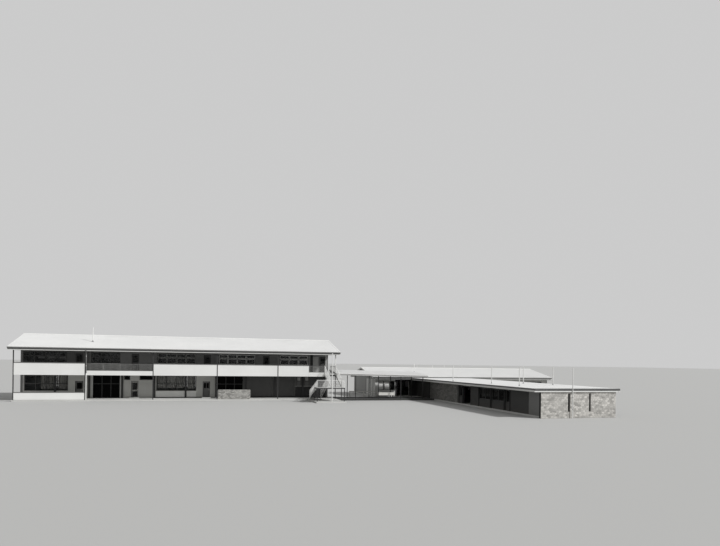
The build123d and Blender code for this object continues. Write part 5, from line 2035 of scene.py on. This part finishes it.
@dataclass(frozen=True)
class Rubble:
    """Random rubble facing with sunk joints."""

    width: float = 0.15
    height: float = 0.085
    joint: float = 0.011
    proud: float = 0.008
    step: float = 0.0085
    seed: int = 7
    jitter: Span = (0.62, 0.55)
    shift: float = 0.37
    least: float = 0.55
    margin: float = 0.012

    def relief(self, u: Array, v: Array) -> tuple[Array, Array, Array]:
        """Work out the stones' relief.

        One site lies at random in each cell of a staggered grid. With F1 and F2 the
        distances to the nearest and second nearest site, the joint is where F2 - F1 is
        small, and a stone stands proud by its own random share.

        Args:
            u: Places along the wall.
            v: Places up it.

        Returns:
            Height, tone and joint at each place.
        """
        rows = int(v.max() / self.height) + 7
        columns = int(u.max() / self.width) + 8
        random = np.random.default_rng(self.seed).random((rows, columns, 3))
        row = np.floor(v / self.height).astype(int) + 2
        near, second = np.full(u.shape, 9.0), np.full(u.shape, 9.0)
        tone = np.zeros(u.shape)
        for r in (row - 1, row, row + 1):
            shift = 0.5 * (r % 2)
            column = np.floor(u / self.width + shift).astype(int) + 2
            for c in (column - 1, column, column + 1):
                site = random[r % rows, c % columns]
                x = (c - 2 - shift + 0.5 + self.jitter[0] * (site[..., 0] - 0.5)) * self.width
                y = (r - 2 + 0.5 + self.jitter[1] * (site[..., 1] - 0.5)) * self.height
                distance = np.hypot((u - x) * self.height / self.width, v - y)
                closer = distance < near
                second = np.where(closer, near, np.minimum(second, distance))
                tone = np.where(closer, site[..., 2], tone)
                near = np.where(closer, distance, near)
        fill = np.clip((second - near) / self.joint, 0, 1)
        fill = fill * fill * (3 - 2 * fill)
        return self.proud * fill * (self.least + (1 - self.least) * tone), tone, 1 - fill

    def face(self, origin: Array, along: Array, up: Array, size: Span, holes: Sequence[tuple] = ()) -> Shell:
        """Face a rectangle with stones.

        The height dies out at the rectangle's edges and round each hole, so that the skin
        closes against the wall behind.

        Args:
            origin: Corner of the rectangle.
            along: Unit vector along it.
            up: Unit vector up it. The stones stand out along the cross product of the two.
            size: Length and height.
            holes: Rectangles to leave open, as (u0, u1, v0, v1).

        Returns:
            The facing's shell.
        """
        across, rise = (np.linspace(0, reach, max(2, round(reach / self.step)) + 1) for reach in size)
        u, v = np.meshgrid(across, rise, indexing="ij")
        height, tone, joint = self.relief(u + self.shift * self.seed, v)
        edge = np.minimum.reduce((u, size[0] - u, v, size[1] - v))
        for u0, u1, v0, v1 in holes:
            away = np.maximum.reduce((u0 - u, u - u1, v0 - v, v - v1))
            edge = np.minimum(edge, np.maximum(away, 0))
        height = height * np.clip(edge / self.margin, 0, 1)
        flat = np.asarray(origin) + u[..., None] * along + v[..., None] * up
        points = flat + height[..., None] * np.cross(along, up)
        shell = surface(points, values=np.stack((tone, joint), axis=-1))
        shell.faces = [outside(shell.faces[0], u, v, holes)]
        return shell


@dataclass
class StoneWork:
    """Stone facings of the low wall, the front wing's end and its court side."""

    low_wall: Rubble = Rubble(0.13, 0.075, seed=3)
    end_wall: Rubble = Rubble(0.16, 0.09, step=0.011, seed=5)
    court: Rubble = Rubble(0.17, 0.095, step=0.013, seed=8)
    court_reach: Span = (-1.56, 2.4)
    skin: float = 0.003

    def build(self) -> None:
        """Face the three walls."""
        wall = box_of("stone_low_wall")
        (x0, y0, z0), (x1, y1, z1) = wall.low, wall.high
        wide, deep, tall = wall.size
        sides = (
            ((x0, y0, z0), ALONG, UP, (wide, tall)),
            ((x1, y1, z0), -ALONG, UP, (wide, tall)),
            ((x1, y0, z0), BACK, UP, (deep, tall)),
            ((x0, y1, z0), -BACK, UP, (deep, tall)),
            ((x0, y0, z1), ALONG, BACK, (wide, deep)),
        )
        shells = [self.low_wall.face(*side) for side in sides]
        Piece("low_wall_stones", GREY_STONE, "rubble_stone").build(*shells)
        end = box_of("stone_end_wall")
        (x0, y0, z0), (x1, y1, z1) = end.low, end.high
        wide, deep, tall = end.size
        slots = [
            (glass.low[0] - x0, glass.high[0] - x0, glass.low[2] - z0, glass.high[2] - z0)
            for glass in boxes_of("wing_glass")
            if y0 < glass.low[1] < y1
        ]
        Piece("end_wall_stones", LIGHT_STONE, "rubble_stone").build(
            self.end_wall.face(end.low, ALONG, UP, (wide, tall), slots),
            self.end_wall.face((x1, y0, z0), BACK, UP, (deep, tall)),
        )
        # The stone fin's left end is skinned black as painted shade.
        Piece("end_wall_shade_return", BLACK_PAINT_AND_SHADE, "wall_render", thickness=self.skin).build(
            cover(Side.LEFT, x0 - self.skin, (y0, y1), (z0, z1))
        )
        court = max(boxes_of("court_wall"), key=lambda box: box.low[1])
        near, far = self.court_reach
        corner = (court.low[0], far, court.low[2])
        Piece("court_wall_stones", DARK_STONE, "court_masonry").build(
            self.court.face(corner, -BACK, UP, (far - near, court.size[2]))
        )


@dataclass
class FrontWing:
    """Sheeting, gutter, posts and pier of the front single-storey wing."""

    cladding: Cladding = Cladding(pitch=0.095, depth=0.008)
    gutter: GutterRun = GutterRun(0.022, 0.07)
    end_gutter: GutterRun = GutterRun(0.022, 0.092)
    gutter_lift: float = 0.004
    side_end: float = 0.2
    pipe_gap: float = 0.03
    board: float = 0.008
    board_foot: float = 0.155
    mullion: float = 0.03
    mullion_depth: float = 0.03
    rear_post: Span = (2.42, 2.54)
    rear_post_depth: float = 0.02
    jamb: float = 0.02
    jamb_proud: float = 0.004
    jamb_drop: float = 0.07
    head_low: Point = (-0.07, -0.02, -0.01)
    head_high: Point = (-0.02, 0.0, 0.04)
    pier: float = 0.95
    pier_skin: float = 0.008

    def roof(self) -> None:
        """Lay ribbed sheets on the flat roof and hang a near-black gutter round its edges, painted shadow
        under the roof's edge.
        """
        face = RoofFace.of("front_wing_roof")
        self.cladding.lay("front_wing_sheeting", WING_SHEET, face, Axis.X, laps=2)
        (x0, y0, z0), (x1, y1, z1) = face.box.low, face.box.high
        top, out = z1 + self.gutter_lift, self.gutter.reach
        middle = next(p.mean(0)[0] for p in solids_of("roof_vents") if p[:, 2].min() < 0.1)
        sides = [
            ((x, y0, top), (x, y1 - self.side_end, top), side)
            for x, side in ((x0, Side.LEFT), (x1, Side.RIGHT))
        ]
        ends = [
            ((start, y0, top), (end, y0, top), Side.FRONT)
            for start, end in ((x0 - out, middle - self.pipe_gap), (middle + self.pipe_gap, x1 + out))
        ]
        Piece("front_wing_gutters", GUTTER_SHADOW_PAINT, "gutter_paint").build(
            *(self.gutter.shell(*run) for run in sides), *(self.end_gutter.shell(*run) for run in ends)
        )
        foot = -self.board_foot
        for name, finish, gutter, runs in (
            ("front_wing_side_fascias", EDGE_PAINT, self.gutter, sides),
            ("front_wing_end_fascias", FLASHING, self.end_gutter, ends),
        ):
            upper = -gutter.depth - gutter.sheet
            board = ((0.0, upper), (self.board, upper), (self.board, foot), (0.0, foot))
            shells = [prism(board, start, end, side.outward) for start, end, side in runs]
            Piece(name, finish, "fascia_paint").build(*shells)
        corner = at(x1, y0, z0)
        head = blocks(corner + self.head_low, corner + self.head_high)
        Piece("rainwater_head", PALE_PAINT, "white_paint").build(head)

    def posts(self) -> None:
        """Stand dark posts beside the court windows and a pale pier at the front corner."""
        court = boxes_of("court_wall")
        front, rear = (pick(court, key=lambda box: box.low[1]) for pick in (min, max))
        (x, y, foot), top = front.low, front.high[2]
        windows = [box for box in boxes_of("wing_glass") if abs(box.low[0] - x) < 0.1]
        edges = np.array(sorted(edge for box in windows for edge in (box.low[1], box.high[1])))
        half = self.mullion / 2
        posts = blocks(at(x - self.mullion_depth, edges - half, foot), at(x, edges + half, top))
        near, far = self.rear_post
        out = rear.low[0] - self.rear_post_depth
        post = blocks((out, near, rear.low[2]), (rear.low[0], far, rear.high[2]))
        Piece("court_posts", BLACK_PAINT_AND_SHADE, "frame_paint").build(posts, post)
        x0, x1 = rear.low[0] - self.jamb_proud, rear.high[0] + self.jamb_proud
        jambs = [
            blocks((x0, middle - self.jamb, rear.low[2]), (x1, middle + self.jamb, top - self.jamb_drop))
            for middle in (rear.low[1], front.high[1])
        ]
        Piece("court_doorway_jambs", BLACK_PAINT_AND_SHADE, "frame_paint").build(*jambs)
        pier = blocks((x - self.pier_skin, y, foot), (x, y + self.pier, top))
        Piece("corner_pier", PIER_WALL, "wall_render").build(pier)

    def build(self) -> None:
        """Make the roof's cladding and the court side's posts."""
        self.roof()
        self.posts()


@dataclass
class RearWingFront:
    """Pale boards and a black skin of painted shade on the rear wing's front beside the covered way, and
    pale painted light on the gable's front part.
    """

    skin: float = 0.006
    split: float = 5.55
    return_end: float = 6.72
    strips: tuple[float, ...] = (5.13, 5.66, 6.72)
    strip: float = 0.03
    strip_depth: float = 0.016
    moulding: float = 0.014
    moulding_rise: float = 0.03
    moulding_depth: float = 0.008

    def build(self) -> None:
        """Cover the wall up to the court with pale boards and a black skin of painted shade, skin the
        gable's front part pale as painted light, and run a light moulding along the boards.
        """
        wall = box_of("rear_wing_long_walls")
        left, right = box_of("rear_wing_gable_walls").low[0], box_of("court_wall").low[0]
        holes = [
            box.hole
            for box in boxes_of("wing_glass")
            if abs(box.low[1] - wall.low[1]) < 0.1 and box.high[0] < right
        ]
        face, rise = wall.low[1] - self.skin, (wall.low[2], wall.high[2])
        for name, finish, shell in (
            ("pale_wing_boards", PALE_BOARDS, cover(Side.FRONT, face, (left, self.split), rise, holes)),
            (
                # The lobby wall is skinned black as painted shade.
                "lobby_painted_shade", BLACK_PAINT_AND_SHADE,
                cover(Side.FRONT, face, (self.split, right), rise, [self.doorway(wall, right)]),
            ),
            (
                # The gable's front part is skinned pale as painted light, for a lit front wall.
                "gable_painted_light", PALE_BOARDS,
                cover(Side.LEFT, left - self.skin, (face, self.return_end), rise),
            ),
        ):
            Piece(name, finish, "wall_render", thickness=self.skin).build(shell)
        y = np.array(self.strips)
        lows = at(left - self.strip_depth, y - self.strip, rise[0])
        Piece("wing_cover_strips", FRAME_PAINT, "frame_paint").build(
            blocks(lows, at(left, y + self.strip, rise[1]))
        )
        foot, out = holes[0][3] + self.moulding_rise, face - self.moulding_depth
        line = blocks((left, out, foot), (self.split, face, foot + self.moulding))
        Piece("wing_moulding", FLASHING, "white_paint").build(line)

    def doorway(self, wall: Box, right: float) -> tuple[float, float, float, float]:
        """Find the doorway in the wall's front part.

        It spans the corners of the front part that lie between the split and the court
        and below the wall's head.

        Args:
            wall: Box of the wall.
            right: Where the front part ends.

        Returns:
            The opening's start, end, lowest and highest level.
        """
        points = np.vstack([p for p in solids_of("rear_wing_long_walls") if p[:, 1].min() < wall.centre[1]])
        x, z = points[:, 0], points[:, 2]
        inner = points[(x > self.split) & (x < right) & (z < wall.high[2] - NEAR)]
        return inner[:, 0].min(), inner[:, 0].max(), wall.low[2], inner[:, 2].max()


@dataclass
class RoofPipes:
    """Vent pipes with open tops, lead collars and wall clips."""

    radius: float = 0.022
    bore: float = 0.017
    bore_depth: float = 0.12
    bore_end: float = 0.0005
    rim: float = 0.003
    mouth: Span = (0.02, 0.018)
    base: float = 0.03
    cone: tuple[Span, ...] = (
        (0.067, -0.004), (0.055, 0.014), (0.028, 0.03), (0.025, 0.075), (0.020, 0.077)
    )
    clip: Span = (0.02, 0.004)
    clip_levels: tuple[float, ...] = (0.4, 0.95, 1.3)

    def build(self) -> None:
        """Turn each pipe as a hollow tube and seat a coned collar on its roof."""
        pipes, collars = [], []
        radius, rim_radius = self.radius, self.radius + self.rim
        below, under = self.mouth
        for points in solids_of("roof_vents"):
            box = Box(points.min(0), points.max(0))
            foot, top = box.low[2], box.high[2]
            x, y = (box.low + box.high)[:2] / 2
            on_base = box.size[0] > 3 * radius
            if on_base:
                head = points[points[:, 2] > top - NEAR]
                x, y = (head.min(0) + head.max(0))[:2] / 2
            pipes.append(revolve(x, y, (
                (radius, foot),
                (radius, top - below),
                (rim_radius, top - under),
                (rim_radius, top),
                (self.bore, top),
                (self.bore, top - self.bore_depth),
                (self.bore_end, top - self.bore_depth),
            )))
            if foot > 0.5:
                seat = foot + (self.base if on_base else 0.0)
                collars.append(revolve(x, y, [(wide, seat + rise) for wide, rise in self.cone]))
            else:
                wide, proud = self.clip
                for level in self.clip_levels:
                    collars.append(pipe(x, y, level, level + wide, radius + proud, 24))
        Piece("vent_pipes", VENT, "vent_pipe", stands_for=("roof_vents",), smooth=True).build(*pipes)
        Piece("vent_collars", LEAD, "vent_pipe", smooth=True).build(*collars)


@dataclass
class Studio:
    """Camera, lamps, world and floor."""

    image: tuple[int, int] = (720, 546)
    focal: float = 557.0
    centre: Span = (337.5, 360.71)
    roll: float = 0.0138
    eye: Point = (-8.275, -31.9955, 2.495)
    heading: Span = (0.2541, 0.9672)
    sensor: float = 36.0
    clip_end: float = 900.0
    sun_direction: Point = (0.60, -0.50, 0.62)
    sun_strength: float = 2.9
    sun_angle: float = 5.0
    fill_strength: float = 0.45
    backdrop: Rgb = (0.60, 0.60, 0.60)
    ground: Rgb = (0.50, 0.50, 0.49)
    ground_reach: float = 420.0
    ground_level: float = -0.002

    def camera(self) -> None:
        """Set the camera as the photograph was taken.

        The camera's right is the heading's right turned by the roll, the lens is the focal
        length over the image's width times the sensor's, and the shift is the distance of
        the principal point from the image's middle over the image's width.
        """
        width, height = self.image
        forward = Vector((*self.heading, 0.0)).normalized()
        up = Vector((0.0, 0.0, 1.0))
        right = forward.cross(up)
        tilt_right = math.cos(self.roll) * right + math.sin(self.roll) * up
        tilt_up = math.cos(self.roll) * up - math.sin(self.roll) * right
        data = bpy.data.cameras.new("photograph_camera")
        data.sensor_fit = "HORIZONTAL"
        data.sensor_width = self.sensor
        data.lens = self.focal / width * self.sensor
        data.shift_x = (width / 2 - self.centre[0]) / width
        data.shift_y = (self.centre[1] - height / 2) / width
        data.clip_end = self.clip_end
        camera = show("photograph_camera", data)
        rows = Matrix((tilt_right, tilt_up, -forward)).transposed()
        camera.matrix_world = Matrix.Translation(self.eye) @ rows.to_4x4()
        bpy.context.scene.camera = camera

    def sun(self) -> None:
        """Light the building with one soft sun."""
        data = bpy.data.lights.new("studio_sun", "SUN")
        data.energy = self.sun_strength
        data.angle = math.radians(self.sun_angle)
        sun = show("studio_sun", data)
        sun.rotation_euler = Vector(self.sun_direction).to_track_quat("Z", "Y").to_euler()

    def fill(self) -> None:
        """Light evenly from all round, and show a plain backdrop to rays that see it directly."""
        world = bpy.data.worlds.new("studio_sky")
        bpy.context.scene.world = world
        world.use_nodes = True
        add, link = world.node_tree.nodes.new, world.node_tree.links.new
        world.node_tree.nodes.clear()
        light, shown = add("ShaderNodeBackground"), add("ShaderNodeBackground")
        light.inputs["Strength"].default_value = self.fill_strength
        shown.inputs["Color"].default_value = (*self.backdrop, 1.0)
        rays = add("ShaderNodeLightPath").outputs
        seen = rays["Is Camera Ray"]
        for ray in ("Is Glossy Ray", "Is Transmission Ray"):
            either = add("ShaderNodeMath")
            either.operation = "MAXIMUM"
            link(seen, either.inputs[0])
            link(rays[ray], either.inputs[1])
            seen = either.outputs[0]
        choose = add("ShaderNodeMixShader")
        for source, socket in zip((seen, light.outputs[0], shown.outputs[0]), choose.inputs):
            link(source, socket)
        link(choose.outputs[0], add("ShaderNodeOutputWorld").inputs["Surface"])

    def floor(self) -> None:
        """Lay a wide plain floor as the stage."""
        line = np.linspace(-self.ground_reach, self.ground_reach, 3)
        shell = surface(at(line[:, None], line, self.ground_level))
        mesh = bpy.data.meshes.new("studio_floor")
        mesh.from_pydata(shell.points.tolist(), [], shell.faces[0].tolist())
        floor = show("studio_floor", mesh)
        graph = Graph("studio_floor_paint")
        graph.dress({"Base Color": self.ground, "Roughness": 0.9})
        mesh.materials.append(graph.material)

    def build(self) -> None:
        """Set up the camera, the light and the stage."""
        self.camera()
        self.sun()
        self.fill()
        self.floor()
        bpy.context.scene.view_settings.view_transform = "Standard"


def dress_frame() -> None:
    """Give every node of the frame its finish."""
    for finish, nodes in NODE_FINISHES.items():
        for node in nodes:
            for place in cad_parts[node].material_slots:
                place.material = finish.material()
    named = {node for nodes in NODE_FINISHES.values() for node in nodes}
    log.info("%d nodes dressed, %s left", len(named), sorted(set(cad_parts) - named))


def main() -> None:
    """Build the stage, dress the frame and add each sub-assembly's pieces."""
    Studio().build()
    dress_frame()
    for part in (
        BlockRoof(),
        Glaziers(),
        Verandah(),
        RoomFronts(),
        OutsideStair(),
        CoveredWay(),
        RearWingFront(),
        FrontWing(),
        StoneWork(),
        RoofPipes(),
    ):
        log.info("building %s", type(part).__name__)
        part.build()


if __name__ == "__main__":
    logging.basicConfig(level=logging.INFO, format="%(name)s: %(message)s")
    main()
